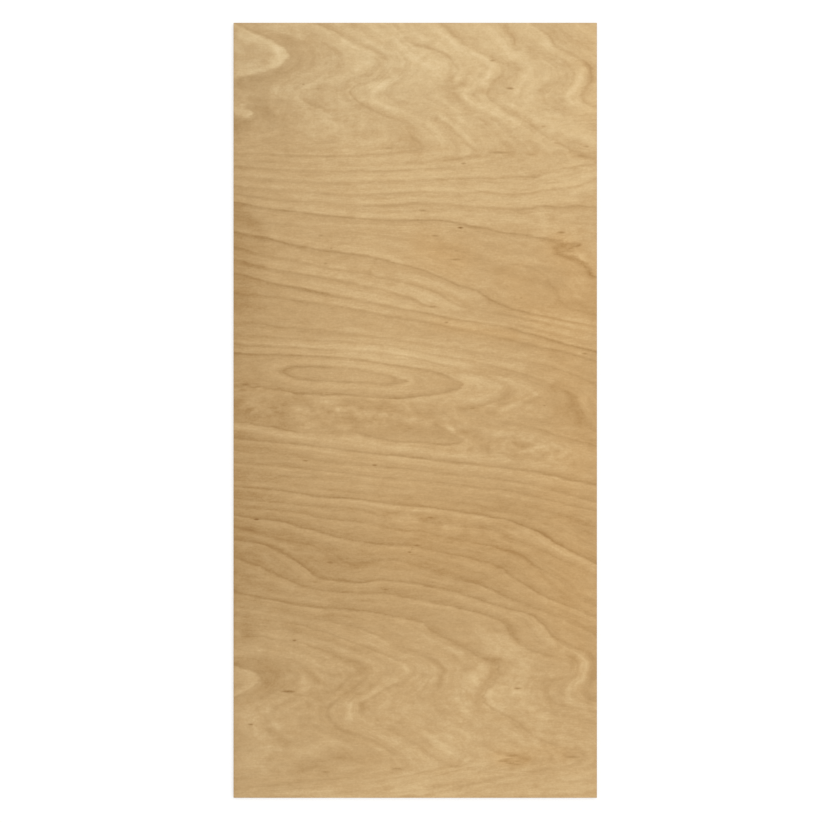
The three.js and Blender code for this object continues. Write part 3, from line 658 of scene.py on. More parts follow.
# How much warmer (+) or cooler (-) the wood is, in levels of red over blue: from end to end, from
# side to side, then in drawn patches.
WARMTH_DOWN = ((0, 0.13, 0.17, 0.25, 0.3, 0.6, 0.75, 1), (-2.5, -2.0, -0.5, 0, 1, 1, -0.5, -0.5))
WARMTH_ACROSS = ((0, 0.12, 0.25, 0.4, 0.6, 1), (-4.5, -3, -1.5, 0, 0.5, 1.5))
WARM_PATCHES = [           # levels, half width, then columns and rows from end to end
    (-2.5, 45, [(270, 80), (390, 70)]),
    (3, 22, [(592, 30), (592, 110)]),
    (4.5, 18, [(425, 248), (455, 260)]),
    (6, 20, [(562, 248), (582, 275), (580, 310)]),
    (3.5, 22, [(515, 285), (545, 320)]),
    (4, 7, [(436, 323), (480, 330), (515, 335)]),
    (3.5, 32, [(565, 330), (575, 400), (585, 450)]),
    (3.5, 45, [(425, 540), (500, 550), (560, 590)]),
    (3, 30, [(560, 490), (580, 560), (580, 640)]),
    (3, 9, [(497, 752), (560, 752)]),
    (4, 6, [(500, 760), (525, 761)]),
]

BLOTCHES = [               # strength, half width, then columns and rows from end to end
    (1.0, 14, [(240, 408), (300, 410), (360, 414), (400, 412)]),
    (0.6, 12, [(440, 404), (500, 408), (560, 410)]),
    (0.9, 14, [(470, 440), (520, 444), (560, 452)]),
    (0.7, 6, [(390, 517), (430, 519), (465, 526)]),
    (0.6, 40, [(250, 100), (330, 110), (400, 60), (480, 90), (540, 110)]),
    (0.6, 40, [(260, 730), (340, 680), (420, 700), (500, 680), (540, 740)]),
    (0.5, 20, [(300, 260), (360, 270)]),
]

FLECK_HEIGHT = 1.2
FLECK_REACH = 9.0
FLECKS = [                 # column, row, half length and strength
    (492, 60, 4, 0.7), (510, 88, 6, 0.75), (463, 163, 4, 0.8), (460, 227.2, 4, 1.4), (561, 232, 6, 0.8),
    (435, 235.3, 5, 0.55), (455, 259.1, 9, 0.55), (422, 210, 5, 0.5), (388, 148, 7, 0.5), (303, 84, 2, 0.6),
    (318, 88, 4, 0.45), (543, 126, 3, 0.35), (586, 146, 4, 0.5), (374, 464.6, 4, 0.7), (305, 460.2, 4, 0.7),
    (256, 519, 4, 1.1), (409, 551.6, 3, 0.7), (417, 545, 5, 0.5), (432, 306.2, 6, 0.45),
    (294, 640, 3, 0.85), (288, 691, 10, 0.8), (517, 688, 5, 0.8), (250, 724, 4, 0.8), (544, 405, 2, 0.5),
    (330, 562, 5, 0.5), (385, 589, 4, 0.35), (245, 384, 6, 0.4), (532, 154, 6, 0.25), (535, 177, 5, 0.4),
    (446, 322, 3, 0.7), (584, 353, 4, 0.6), (499, 152, 12, 0.6), (396, 768, 7, 0.45), (325, 771.5, 5, 0.4),
    (455, 766, 9, 0.3), (503, 760.5, 9, 0.6), (512, 755.3, 10, 0.4), (515, 764, 8, 0.3),
    (572, 756.5, 9, 0.5), (320.5, 235, 4, 0.3), (330.5, 248, 2, 0.6), (325, 263, 3, 0.6),
    (430, 517, 4, 0.5), (520.5, 297.5, 2, 0.4),
]


# --- Curves ------------------------------------------------------------------------------------

def drawn_curve(points, spacing):
    """Points about `spacing` apart on the smooth curve through the given points (Catmull-Rom)."""
    stops = np.array(points, float)
    closed = np.allclose(stops[0], stops[-1])
    before = stops[-2] if closed else 2 * stops[0] - stops[1]
    after = stops[1] if closed else 2 * stops[-1] - stops[-2]
    stops = np.vstack([before, stops, after])
    curve = []
    for a, b, c, d in zip(stops, stops[1:], stops[2:], stops[3:]):
        count = max(1, round(np.linalg.norm(c - b) / spacing))
        for t in np.arange(count) / count:
            curve.append(b + 0.5 * ((c - a) * t + (2 * a - 5 * b + 4 * c - d) * t**2
                                    + (3 * b - a - 3 * c + d) * t**3))
    return np.array(curve + [stops[-2]])


# --- The fields of the good face ---------------------------------------------------------------
# They are worked out on a raster of map points, and the mesh reads them from it.

MAP_STEP = 2.0               # layout squares from one map point to the next
LINE_SPACING = 7.0           # layout squares from one drawn point of a growth line to the next
GRAIN_PULL = 0.6             # distances along the grain count less, because rings run along it
FIELD_POWER = 1.5            # between 1, taut with kinks at the lines, and 2, slack and wavy
FIELD_EASE = 0.3             # how freely the field may miss the drawn lines
WIDEST_RING, NARROWEST_RING = 60.0, 1.5
FIBRE_SHIFTS = [(2.2, 30, 7), (1.2, 16, 3.5)]    # size, then length along and height across the grain
BAND_DEPTH = 1.15            # how strongly the drawn bands show
DARKNESS_BLEND = 20          # squared squares within which neighbouring lines share their darkness
PART = 4000                  # map points worked out at once, which keeps the memory small


def spread(points, centres):
    """The kernel of the ring field between two sets of points."""
    squared = ((points[:, None] - centres[None]) ** 2).sum(-1)
    return -np.power(squared + 1e-9, FIELD_POWER / 2)


def with_slope(points):
    """The terms of a plane at each point."""
    return np.c_[np.ones(len(points)), points / 100]


def ring_map(columns, rows):
    """The ring number all over the face, by radial basis functions through the growth lines, and the
    darkness of the lines nearby."""
    pull = np.array([GRAIN_PULL, 1.0])
    points, rings, darkness = [], [], []
    for ring, dark, line in GROWTH_LINES:
        curve = drawn_curve(line, LINE_SPACING)
        points.append(curve)
        rings.append(np.full(len(curve), float(ring)))
        darkness.append(np.full(len(curve), float(dark)))
    points = np.vstack(points) * pull
    rings = np.concatenate(rings)
    darkness = np.concatenate(darkness)
    _, kept = np.unique(np.round(points).astype(int), axis=0, return_index=True)
    points, rings, darkness = points[kept], rings[kept], darkness[kept]

    count = len(points)
    system = np.zeros((count + 3, count + 3))
    system[:count, :count] = spread(points, points) + FIELD_EASE * np.eye(count)
    system[:count, count:] = with_slope(points)
    system[count:, :count] = system[:count, count:].T
    weights = np.linalg.solve(system, np.r_[rings, 0, 0, 0])

    places = np.c_[columns.ravel(), rows.ravel()] * pull
    ring, dark = np.empty(len(places)), np.empty(len(places))
    for start in range(0, len(places), PART):
        part = places[start:start + PART]
        kernel = spread(part, points)
        ring[start:start + PART] = kernel @ weights[:count] + with_slope(part) @ weights[count:]
        nearness = 1 / (np.power(-kernel, 4 / FIELD_POWER) + DARKNESS_BLEND)
        dark[start:start + PART] = nearness @ darkness / nearness.sum(1)
    return ring.reshape(columns.shape), dark.reshape(columns.shape)


def ring_width_map(ring):
    """How far apart two rings would be drawn here, in layout squares, and how much they cross the
    grain, from 0 to 1."""
    down, across = np.gradient(ring, MAP_STEP)
    slope = np.hypot(down, across).clip(1e-4)
    return np.clip(1 / slope, NARROWEST_RING, WIDEST_RING), abs(across) / slope


def strokes_map(strokes, columns, rows):
    """The sum of soft brush strokes, each with its amount, its half width and its line."""
    total = np.zeros(columns.shape)
    for amount, half_width, line in strokes:
        nearest = np.full(columns.shape, 1e9)
        for place in drawn_curve(line, max(half_width / 2, 1.5)):
            nearest = np.minimum(nearest, (columns - place[0]) ** 2 + (rows - place[1]) ** 2)
        total += amount * np.exp(-nearest / half_width**2)
    return total


def tint_and_shade_map(columns, rows):
    """How much paler or darker the face is, in levels: the wood's tone from end to end, painted shade towards
    the left edge, then the drawn bands.
    """
    down = (rows - FIRST_ROW) / ROW_COUNT
    across = (columns - FIRST_COLUMN) * PITCH / WIDTH
    return (np.interp(down, *TINT_DOWN) + np.interp(across, *PAINTED_SHADE_ACROSS)
            + BAND_DEPTH * strokes_map(BANDS, columns, rows))


def warmth_map(columns, rows):
    """How much warmer or cooler the wood is, in levels of red over blue."""
    down = (rows - FIRST_ROW) / ROW_COUNT
    across = (columns - FIRST_COLUMN) * PITCH / WIDTH
    return (np.interp(down, *WARMTH_DOWN) + np.interp(across, *WARMTH_ACROSS)
            + strokes_map(WARM_PATCHES, columns, rows))


def clearness(rows):
    """How clear the growth lines are at this row."""
    return np.interp((rows - FIRST_ROW) / ROW_COUNT, *CLEARNESS_DOWN)


def read_map(values, columns, rows):
    """Reads a map at the given places, straight between its points."""
    i = np.clip((rows - MAP_ROWS[0]) / MAP_STEP, 0, values.shape[0] - 1.001)
    j = np.clip((columns - MAP_COLUMNS[0]) / MAP_STEP, 0, values.shape[1] - 1.001)
    low_i, low_j = i.astype(int), j.astype(int)
    di, dj = i - low_i, j - low_j
    upper = values[low_i, low_j] * (1 - dj) + values[low_i, low_j + 1] * dj
    lower = values[low_i + 1, low_j] * (1 - dj) + values[low_i + 1, low_j + 1] * dj
    return upper * (1 - di) + lower * di


MAP_COLUMNS = np.arange(FIRST_COLUMN - 2, FIRST_COLUMN + WIDTH / PITCH + 3, MAP_STEP)
MAP_ROWS = np.arange(FIRST_ROW - 2, FIRST_ROW + ROW_COUNT + 3, MAP_STEP)


def fibre_shift(columns, rows):
    """How far the fibres carry the figure along the grain here, in layout squares: where it crosses
    them, its edges break into small steps."""
    shift = np.empty(len(columns))
    for i, (column, row) in enumerate(zip(columns, rows)):
        shift[i] = sum(size * noise.noise((column / length, row / height, 5.0 * size))
                       for size, length, height in FIBRE_SHIFTS)
    return shift


def good_face_fields(columns, rows):
    """What the veneer's material reads at each place on the good face, by the attribute's name."""
    fleck = nearest_fleck(columns, rows)
    columns = columns + fibre_shift(columns, rows)
    map_columns, map_rows = np.meshgrid(MAP_COLUMNS, MAP_ROWS)
    ring, dark = ring_map(map_columns, map_rows)
    width, crossing = ring_width_map(ring)
    return {
        "ring": read_map(ring, columns, rows),
        "ring_width": read_map(width, columns, rows) * PITCH / MM,
        "crossing": read_map(crossing, columns, rows),
        "line_darkness": read_map(dark, columns, rows) * clearness(rows),
        "tint_and_shade": read_map(tint_and_shade_map(map_columns, map_rows), columns, rows),
        "warmth": read_map(warmth_map(map_columns, map_rows), columns, rows),
        "blotch": read_map(strokes_map(BLOTCHES, map_columns, map_rows), columns, rows),
        "fleck": fleck,
    }


def nearest_fleck(columns, rows):
    """The way from the nearest fleck, in its own half lengths and half heights, and its strength."""
    best = np.full(len(columns), 1e9)
    fleck = np.zeros((len(columns), 3))
    for column, row, half_length, strength in FLECKS:
        half_height = FLECK_HEIGHT * (1 + half_length / 20)
        across, down = (columns - column) / half_length, (rows - row) / half_height
        reach = np.maximum(abs(columns - column) - half_length, 0) + abs(rows - row)
        closer = reach < best
        best[closer] = reach[closer]
        fleck[closer] = np.c_[across, down, np.where(reach < FLECK_REACH, strength, 0)][closer]
    return fleck


LOG_ROUND = 1.9              # metres of veneer from one turn of the log, after which a figure repeats
BACK_RING, BACK_SWING = 9, 7.5    # the middle ring, and how many the knife passes either way
BACK_DEEPEST = -0.31         # metres along the sheet to where the knife reached deepest
BACK_NARROWEST, BACK_WIDEST = 6 * MM, 190 * MM
BACK_WAVES = [               # rings, then radians in a metre across and along the sheet, and the start
    (0.7, 2.6, 0.4, 0.6), (0.45, 6.5, 2.4, 0.0), (0.25, 15.0, -5.0, 1.0)]


def back_face_fields(x, y):
    """The same fields for the back: a plainer figure of long flames, worked out by formula."""
    turn = 2 * math.pi / LOG_ROUND
    angle = turn * (y - BACK_DEEPEST)
    ring = BACK_RING - BACK_SWING * np.cos(angle)
    slope_x, slope_y = 0, BACK_SWING * turn * np.sin(angle)
    for rings, along_x, along_y, start in BACK_WAVES:
        angle = along_x * x + along_y * y + start
        ring = ring + rings * np.sin(angle)
        slope_x = slope_x + rings * along_x * np.cos(angle)
        slope_y = slope_y + rings * along_y * np.cos(angle)
    slope = np.hypot(slope_x, slope_y).clip(1e-3)
    return {
        "ring": ring,
        "ring_width": np.clip(1 / slope, BACK_NARROWEST, BACK_WIDEST) / MM,
        "crossing": abs(slope_x) / slope,
        "line_darkness": 0.4 + 0.2 * np.sin(2.3 * ring),
        "tint_and_shade": -3 + 4 * np.sin(2.0 * y + 1.0) + 3 * np.sin(3.0 * x),
        "warmth": np.sin(1.7 * y),
        "blotch": 0.3 + 0.2 * np.sin(2.9 * x + 4.0 * y),
        "fleck": np.zeros((len(x), 3)),
    }


# --- The sheet's mesh --------------------------------------------------------------------------

CELL = 14 * MM               # faces of the back; the good face has four in the place of each
CORNER_STEPS = 3
CORE_X, CORE_Y = WIDTH / 2 - CORNER_RADIUS, LENGTH / 2 - CORNER_RADIUS
VENEER, LONG_GRAIN, END_GRAIN, GLUE = range(4)


def press_to_outline(vert, inset, height):
    """Moves a rim vertex straight out to the sheet's rounded outline, less the inset, at a height."""
    core = Vector((min(max(vert.co.x, -CORE_X), CORE_X), min(max(vert.co.y, -CORE_Y), CORE_Y), 0))
    outward = Vector((vert.co.x - core.x, vert.co.y - core.y, 0)).normalized()
    vert.co = core + outward * (CORNER_RADIUS - inset) + Vector((0, 0, height))


def on_long_side(place):
    """Whether a place on the rim belongs to one of the two long sides."""
    return WIDTH / 2 - abs(place.x) < LENGTH / 2 - abs(place.y)


def shows_end_grain(ply, place):
    """Whether a ply, counted from the good face, shows its end grain here: the face grain runs across."""
    return on_long_side(place) == (ply % 2 == 0)


def dried_back(ply, place):
    """How far an inner ply stands back: wood shrinks across its grain, so those with it along the edge do."""
    inner = 0 < ply < PLY_COUNT - 1
    return SHRINK if inner and not shows_end_grain(ply, place) else 0


def glue_line_height(joint, place):
    """The height of a glue line, counted from the good face: it wanders as the veneers' thickness does."""
    stray = noise.noise(Vector((place.x, place.y, joint * WANDER_LENGTH * 2)) / WANDER_LENGTH)
    return THICKNESS - joint * PLY + PLY_WANDER * stray


def draw_down(bm, rim, ply, place_vert):
    """Extrudes the rim to its next row, sets each new vertex with place_vert, and returns the new rim."""
    made = bmesh.ops.extrude_edge_only(bm, edges=rim)["geom"]
    for vert in (part for part in made if isinstance(part, bmesh.types.BMVert)):
        place_vert(vert)
    for face in (part for part in made if isinstance(part, bmesh.types.BMFace)):
        if ply is None:
            face.material_index = GLUE
        else:
            here = face.calc_center_median()
            face.material_index = END_GRAIN if shows_end_grain(ply, here) else LONG_GRAIN
    old = set(rim)
    return [part for part in made if isinstance(part, bmesh.types.BMEdge) and part not in old
            and all(len(vert.link_edges) == 3 for vert in part.verts)]


def arris_row(lean):
    """Inset and depth of a row of the rounded arris, by its angle from flat."""
    return ARRIS * (1 - math.sin(lean)), ARRIS * (1 - math.cos(lean))


def put_in_order(bm):
    """Sorts the mesh's parts by their place, because some operators leave them in a chance order."""
    weights = Vector((1, 1e3, 1e6))
    bm.verts.sort(key=lambda vert: weights.dot(vert.co))
    bm.edges.sort(key=lambda edge: weights.dot(edge.verts[0].co + edge.verts[1].co))
    bm.faces.sort(key=lambda face: weights.dot(face.calc_center_median()))


def build_sheet():
    """One closed solid: fine grid on the good face, rounded arrises, plies and glue lines, plain back."""
    bm = bmesh.new()
    flat_width, flat_length = WIDTH - 2 * ARRIS, LENGTH - 2 * ARRIS
    bmesh.ops.create_grid(bm, x_segments=round(flat_width / CELL),
                          y_segments=round(flat_length / CELL), size=0.5)
    bmesh.ops.scale(bm, vec=(flat_width, flat_length, 1), verts=bm.verts)
    corners = [vert for vert in bm.verts if len(vert.link_edges) == 2]
    bmesh.ops.bevel(bm, geom=corners, affect="VERTICES", offset=CORNER_RADIUS - ARRIS,
                    segments=CORNER_STEPS, profile=0.5, material=-1)
    for vert in bm.verts:
        vert.co.z = THICKNESS
        if vert.is_boundary:
            press_to_outline(vert, ARRIS, THICKNESS)

    good_face, face_edges = list(bm.faces), list(bm.edges)
    back = bmesh.ops.duplicate(bm, geom=good_face)["geom"]
    back_verts = [part for part in back if isinstance(part, bmesh.types.BMVert)]
    bmesh.ops.translate(bm, vec=(0, 0, -THICKNESS), verts=back_verts)
    bmesh.ops.reverse_faces(bm, faces=[part for part in back if isinstance(part, bmesh.types.BMFace)])

    rim = [edge for edge in face_edges if edge.is_boundary]
    for lean in (math.pi / 4, math.pi / 2):
        inset, depth = arris_row(lean)
        rim = draw_down(bm, rim, 0, lambda vert: press_to_outline(vert, inset, THICKNESS - depth))
    for joint in range(1, PLY_COUNT):
        for ply, below, half in ((joint - 1, joint - 1, 0.5), (None, joint, -0.5)):
            rim = draw_down(bm, rim, ply, lambda vert: press_to_outline(
                vert, dried_back(below, vert.co), glue_line_height(joint, vert.co) + half * GLUE_LINE))
    for lean in (math.pi / 2, math.pi / 4, 0):
        inset, depth = arris_row(lean)
        rim = draw_down(bm, rim, PLY_COUNT - 1, lambda vert: press_to_outline(vert, inset, depth))
    bmesh.ops.remove_doubles(bm, verts=[vert for vert in bm.verts if vert.is_boundary], dist=0.01 * MM)
    bmesh.ops.subdivide_edges(bm, edges=face_edges, cuts=1, use_grid_fill=True)
    bmesh.ops.recalc_face_normals(bm, faces=bm.faces)
    put_in_order(bm)
    lay_out_bake(bm)
    mesh = bpy.data.meshes.new("birch_sheet")
    bm.to_mesh(mesh)
    bm.free()
    sheet = bpy.data.objects.new("birch_sheet", mesh)
    bpy.context.scene.collection.objects.link(sheet)
    return sheet


# Shares of the flat layout's width
FACE_STRIP, BACK_START, BACK_STRIP, EDGE_START, EDGE_STRIP = 0.60, 0.61, 0.30, 0.92, 0.02
EDGE_FILL = 0.9


def lay_out_bake(bm):
    """Lays the sheet out flat for a baked finish: the good face, the back, then the edges side by side."""
    layout = bm.loops.layers.uv.new("OFBake")
    for face in bm.faces:
        centre, normal = face.calc_center_median(), face.normal
        for loop in face.loops:
            place = loop.vert.co
            across, along, up = place.x / WIDTH + 0.5, place.y / LENGTH + 0.5, place.z / THICKNESS
            if normal.z > 0.9:
                loop[layout].uv = (FACE_STRIP * across, along)
            elif normal.z < -0.9:
                loop[layout].uv = (BACK_START + BACK_STRIP * across, along)
            else:
                long_side = on_long_side(centre)
                side = (0 if centre.x > 0 else 1) if long_side else (2 if centre.y > 0 else 3)
                strip = EDGE_START + EDGE_STRIP * (side + EDGE_FILL * up)
                loop[layout].uv = (strip, along if long_side else across)


def write_fields(sheet):
    """Stores on every vertex what the veneer's material needs to draw the figure."""
    mesh = sheet.data
    places = np.empty(len(mesh.vertices) * 3)
    mesh.vertices.foreach_get("co", places)
    x, y, z = places.reshape(-1, 3).T
    on_face = z > THICKNESS / 2
    face = good_face_fields(FIRST_COLUMN + (x - SHEET_LOW[0]) / PITCH,
                            FIRST_ROW + (SHEET_HIGH[1] - y) / PITCH)
    back = back_face_fields(x, y)
    for name, values in face.items():
        if values.ndim == 2:
            layer = mesh.attributes.new(name, "FLOAT_VECTOR", "POINT")
            layer.data.foreach_set("vector", np.where(on_face[:, None], values, back[name]).ravel())
        else:
            layer = mesh.attributes.new(name, "FLOAT", "POINT")
            layer.data.foreach_set("value", np.where(on_face, values, back[name]))


# --- Materials ---------------------------------------------------------------------------------

def paint(code):
    """A colour written as sRGB hex, turned linear."""
    parts = [int(code[i:i + 2], 16) / 255 for i in (1, 3, 5)]
    return (*(part / 12.92 if part <= 0.04045 else ((part + 0.055) / 1.055) ** 2.4 for part in parts), 1.0)


def add(tree, kind, inputs=(), stops=(), **settings):
    """Adds a shader node with its settings and links. Inputs come by name or in order, and each is a
    value, an output, or a node, which stands for its first output. A ramp's stops are a place with a
    level of grey or a colour."""
    node = tree.nodes.new("ShaderNode" + kind)
    for name, value in settings.items():
        setattr(node, name, value)
    for name, value in inputs.items() if isinstance(inputs, dict) else enumerate(inputs):
        if isinstance(value, bpy.types.Node):
            value = value.outputs[0]
        if isinstance(value, bpy.types.NodeSocket):
            tree.links.new(value, node.inputs[name])
        else:
            node.inputs[name].default_value = value
    if stops:
        ramp = node.color_ramp
        while len(ramp.elements) < len(stops):
            ramp.elements.new(0.5)
        for element, (place, tone) in zip(ramp.elements, stops):
            element.position = place
            element.color = paint(tone) if isinstance(tone, str) else (tone, tone, tone, 1.0)
    return node


def blank_material(name, roughness):
    """A new material with a dull wood shader, and its tree."""
    material = bpy.data.materials.new(name)
    material.use_nodes = True
    material.node_tree.nodes.clear()
    shader = add(material.node_tree, "BsdfPrincipled",
                 {"Roughness": roughness, "IOR": 1.5, "Specular IOR Level": 0.2})
    add(material.node_tree, "OutputMaterial", {"Surface": shader})
    return material, material.node_tree, shader


def add_up(tree, levels):
    """The sum of several tones, in levels."""
    total = levels[0]
    for level in levels[1:]:
        total = add(tree, "Math", (total, level), operation="ADD")
    return total


def marks(tree, place, size, levels, detail=2.0, roughness=0.5, seed=0.0):
    """Cloudy marks of about this size in mm along X, Y and Z, within about this many levels."""
    scale = [1 / (MM * length) for length in size]
    stretched = add(tree, "Mapping", {"Vector": place, "Location": (seed, seed, seed), "Scale": scale})
    cloud = add(tree, "TexNoise", {"Vector": stretched, "Scale": 1.0, "Detail": detail,
                                   "Roughness": roughness})
    return add(tree, "Math", (cloud, 4 * levels, -2 * levels), operation="MULTIPLY_ADD")


BIRCH_TONES = [          # tone in levels from the middle one, with its warm and its cool colour
    (-60, "#93662f", "#8b6638"), (-30, "#ae854f", "#a58558"), (0, "#caa46f", "#c1a478"),
    (20, "#ddbb86", "#d4bb8f"), (40, "#efd09d", "#e6d0a6")]
TONE_LOW, TONE_SPAN = -60, 100
WARM_OVER_COOL = 18.0    # levels of red over blue from the cool colours to the warm ones
LONG_GRAIN_TONE, END_GRAIN_TONE = 4.0, -24.0    # levels from the middle tone, on the sawn edges

# Across a growth line, in mm from its darkest part: the pale early wood of the next ring on one
# side, and the late wood that darkens slowly towards it on the other.
PALE_SIDE, PALE_REACH = [(0, -13), (3.1, -5), (6.3, 5), (9.4, 8), (16, 6), (25, 2), (38, 0)], 40.0
DARK_SIDE, DARK_REACH = [(0, -13), (3.1, -8), (6.3, -4), (9.4, -2), (16, -1), (19, 0)], 20.0
PROFILE_LOW, PROFILE_SPAN = -16, 32
PALEST_SIDE = 6.0        # levels, beside the clearest lines

# From one growth line to the next, where the figure crosses the grain: pale early wood, then darker.
RING_SHADE = [(0.0, 0.4), (0.06, 0.6), (0.15, 0.95), (0.35, 0.9), (0.6, 0.5), (0.8, 0.25), (0.93, 0.0),
              (1.0, 0.05)]
RING_SHADE_SPAN = 6.0    # levels from the darkest to the palest of it

MIDDLE_COOL = 0.39           # how cool the wood is on the whole, from 0 to 1
GREYER_WHEN_DARK = -0.006    # cool for each level: thin dark marks are browner than they are red
FLECK_BODY = [(0.0, 1.0), (0.4, 0.75), (0.7, 0.25), (1.0, 0.0)]    # from a fleck's heart to its rim
FLECK_DEPTH = -44.0          # levels at the heart of a fleck of strength 1
EDGE_SHADE_WIDTH, EDGE_SHADE_DEPTH = 3 * MM, -9.0    # painted shade along the edges, where the arris turns from the light: how wide it is, and its levels at the very edge


def line_side(tree, distance, profile, reach):
    """The tone that a growth line gives at a distance in mm on one of its sides."""
    stops = [(place / reach, (level - PROFILE_LOW) / PROFILE_SPAN) for place, level in profile]
    near = add(tree, "Math", (distance, reach), operation="DIVIDE")
    ramp = add(tree, "ValToRGB", {"Fac": near}, stops)
    return add(tree, "Math", (ramp, PROFILE_SPAN, PROFILE_LOW), operation="MULTIPLY_ADD")


def birch_tone(tree, tone, cool):
    """The colour of bare birch at a tone in levels; cool, from 0 to 1, greys it a little."""
    place = add(tree, "Math", (tone, 1 / TONE_SPAN, -TONE_LOW / TONE_SPAN), operation="MULTIPLY_ADD")
    warm, cold = (add(tree, "ValToRGB", {"Fac": place},
                      [((row[0] - TONE_LOW) / TONE_SPAN, row[column]) for row in BIRCH_TONES])
                  for column in (1, 2))
    mixed = add(tree, "Mix", {"Factor": cool, "A": warm, "B": cold}, data_type="RGBA")
    return mixed.outputs["Result"]


def colour_and_relief(tree, shader, colour, tone, strength, depth, height):
    """Gives the shader its colour, and a relief that follows the tone: darker wood lies lower."""
    raised = add(tree, "Math", (tone, height), operation="MULTIPLY")
    relief = add(tree, "Bump", {"Strength": strength, "Distance": depth, "Height": raised})
    tree.links.new(colour, shader.inputs["Base Color"])
    tree.links.new(relief.outputs[0], shader.inputs["Normal"])


def veneer_material():
    """Rotary-peeled birch face veneer, sanded and bare: a dull, pale honey wood with fine short pores,
    thin brown growth lines that are sharp on one side and soft on the other, and dark flecks."""
    material, tree, shader = blank_material("birch_veneer_rotary_sanded", 0.62)
    place = add(tree, "TexCoord").outputs["Object"]
    # besides the wood's own tone, the fifth of these holds painted shade that darkens the face towards its
    # left edge
    ring, width, crossing, darkness, tint_and_shade, warmth, blotch = (
        add(tree, "Attribute", attribute_name=name).outputs["Fac"]
        for name in ("ring", "ring_width", "crossing", "line_darkness", "tint_and_shade", "warmth", "blotch"))
    fleck = add(tree, "Attribute", attribute_name="fleck").outputs["Vector"]

    # growth lines, with the small jogs that the fibres give them
    jog = marks(tree, place, (50, 9, 9), 1.4, detail=3.0)
    jog = add(tree, "Math", (jog, width), operation="DIVIDE")
    ring = add_up(tree, [ring, jog, marks(tree, place, (36, 14, 14), 0.035, detail=3.0, seed=31.0)])
    into_ring = add(tree, "Math", (ring,), operation="FRACT")
    past = add(tree, "Math", (into_ring, width), operation="MULTIPLY")
    to_next = add(tree, "Math", (1.0, into_ring), operation="SUBTRACT")
    ahead = add(tree, "Math", (to_next, width), operation="MULTIPLY")
    lines = add_up(tree, [line_side(tree, past, PALE_SIDE, PALE_REACH),
                          line_side(tree, ahead, DARK_SIDE, DARK_REACH)])
    lines = add(tree, "Math", (lines, darkness), operation="MULTIPLY")
    uneven = add_up(tree, [marks(tree, place, (150, 60, 60), 0.45, seed=37.0), 1.0])
    lines = add(tree, "Math", (lines, uneven), operation="MULTIPLY")
    lines = add(tree, "Math", (lines, PALEST_SIDE), operation="MINIMUM")

    # faint lines within each ring, which follow it
    along = add(tree, "SeparateXYZ", (place,)).outputs
    x, y, z = (add(tree, "Math", (value, scale), operation="MULTIPLY")
               for value, scale in ((along["X"], 6.0), (along["Y"], 6.0), (ring, 5.0)))
    within = add(tree, "CombineXYZ", (x, y, z))
    faint = add(tree, "TexNoise", {"Vector": within, "Scale": 1.0, "Detail": 3.0, "Roughness": 0.6})
    faint = add(tree, "Math", (faint, 0.5), operation="SUBTRACT")
    room = add(tree, "MapRange", {"Value": width, "From Min": 8.0, "From Max": 45.0,
                                  "To Min": 7.5, "To Max": 20.5})
    faint = add(tree, "Math", (faint, room), operation="MULTIPLY")
    stronger = add(tree, "Math", (crossing, 0.7, 1.0), operation="MULTIPLY_ADD")
    faint = add(tree, "Math", (faint, stronger), operation="MULTIPLY")
    shade = add(tree, "ValToRGB", {"Fac": into_ring}, RING_SHADE)
    shade = add(tree, "Math", (shade, RING_SHADE_SPAN, -RING_SHADE_SPAN / 2), operation="MULTIPLY_ADD")
    shade = add(tree, "Math", (shade, crossing), operation="MULTIPLY")

    # fibres and pores along the grain, and a slow mottle
    cloud = marks(tree, place, (30, 20, 20), 12.0, seed=41.0)
    blotches = add(tree, "Math", (blotch, cloud), operation="MULTIPLY")
    fibres = add_up(tree, [marks(tree, place, (34, 4.2, 4), 4.2, seed=3.0),
                           marks(tree, place, (12, 4, 4), 3.7, detail=1.0, seed=7.0)])
    weaker = add(tree, "Math", (crossing, -0.65, 1.0), operation="MULTIPLY_ADD")
    fibres = add(tree, "Math", (fibres, weaker), operation="MULTIPLY")
    mottle = [marks(tree, place, (6, 5, 4), 4.4, detail=1.0, seed=13.0),
              marks(tree, place, (60, 22, 20), 4.5, seed=11.0),
              marks(tree, place, (400, 160, 100), 3.0, detail=1.0, seed=17.0)]

    # flecks: small resin and pith marks, drawn out along the grain
    shape = add(tree, "SeparateXYZ", (fleck,)).outputs
    flat = add(tree, "CombineXYZ", {"X": shape["X"], "Y": shape["Y"]})
    out = add(tree, "VectorMath", (flat,), operation="LENGTH").outputs["Value"]
    body = add(tree, "ValToRGB", {"Fac": out}, FLECK_BODY)
    flecks = add(tree, "Math", (body, shape["Z"]), operation="MULTIPLY")
    flecks = add(tree, "Math", (flecks, FLECK_DEPTH), operation="MULTIPLY")

    # painted shade along the edges, a little grey, for the arris that turns from the light
    insides = []
    for axis, half in (("X", WIDTH / 2), ("Y", LENGTH / 2)):
        off_middle = add(tree, "Math", (along[axis],), operation="ABSOLUTE")
        insides.append(add(tree, "Math", (off_middle, half - EDGE_SHADE_WIDTH), operation="SUBTRACT"))
    painted_edge_shade = add(tree, "Math", insides, operation="MAXIMUM")
    painted_edge_shade = add(tree, "MapRange", {"Value": painted_edge_shade, "From Min": 0.0, "From Max": EDGE_SHADE_WIDTH,
                                    "To Min": 0.0, "To Max": EDGE_SHADE_DEPTH})

    fine = add_up(tree, [lines, faint, fibres, flecks])
    tone = add_up(tree, [tint_and_shade, shade, blotches, *mottle, fine, painted_edge_shade])
    cool = add(tree, "Math", (warmth, -1 / WARM_OVER_COOL, MIDDLE_COOL), operation="MULTIPLY_ADD")
    greyer = add(tree, "Math", (fine, GREYER_WHEN_DARK), operation="MULTIPLY")
    cool = add_up(tree, [cool, marks(tree, place, (60, 24, 20), 0.06, detail=3.0, seed=23.0), greyer])
    colour_and_relief(tree, shader, birch_tone(tree, tone, cool), tone, 0.35, 0.12 * MM, 0.02)
    return material


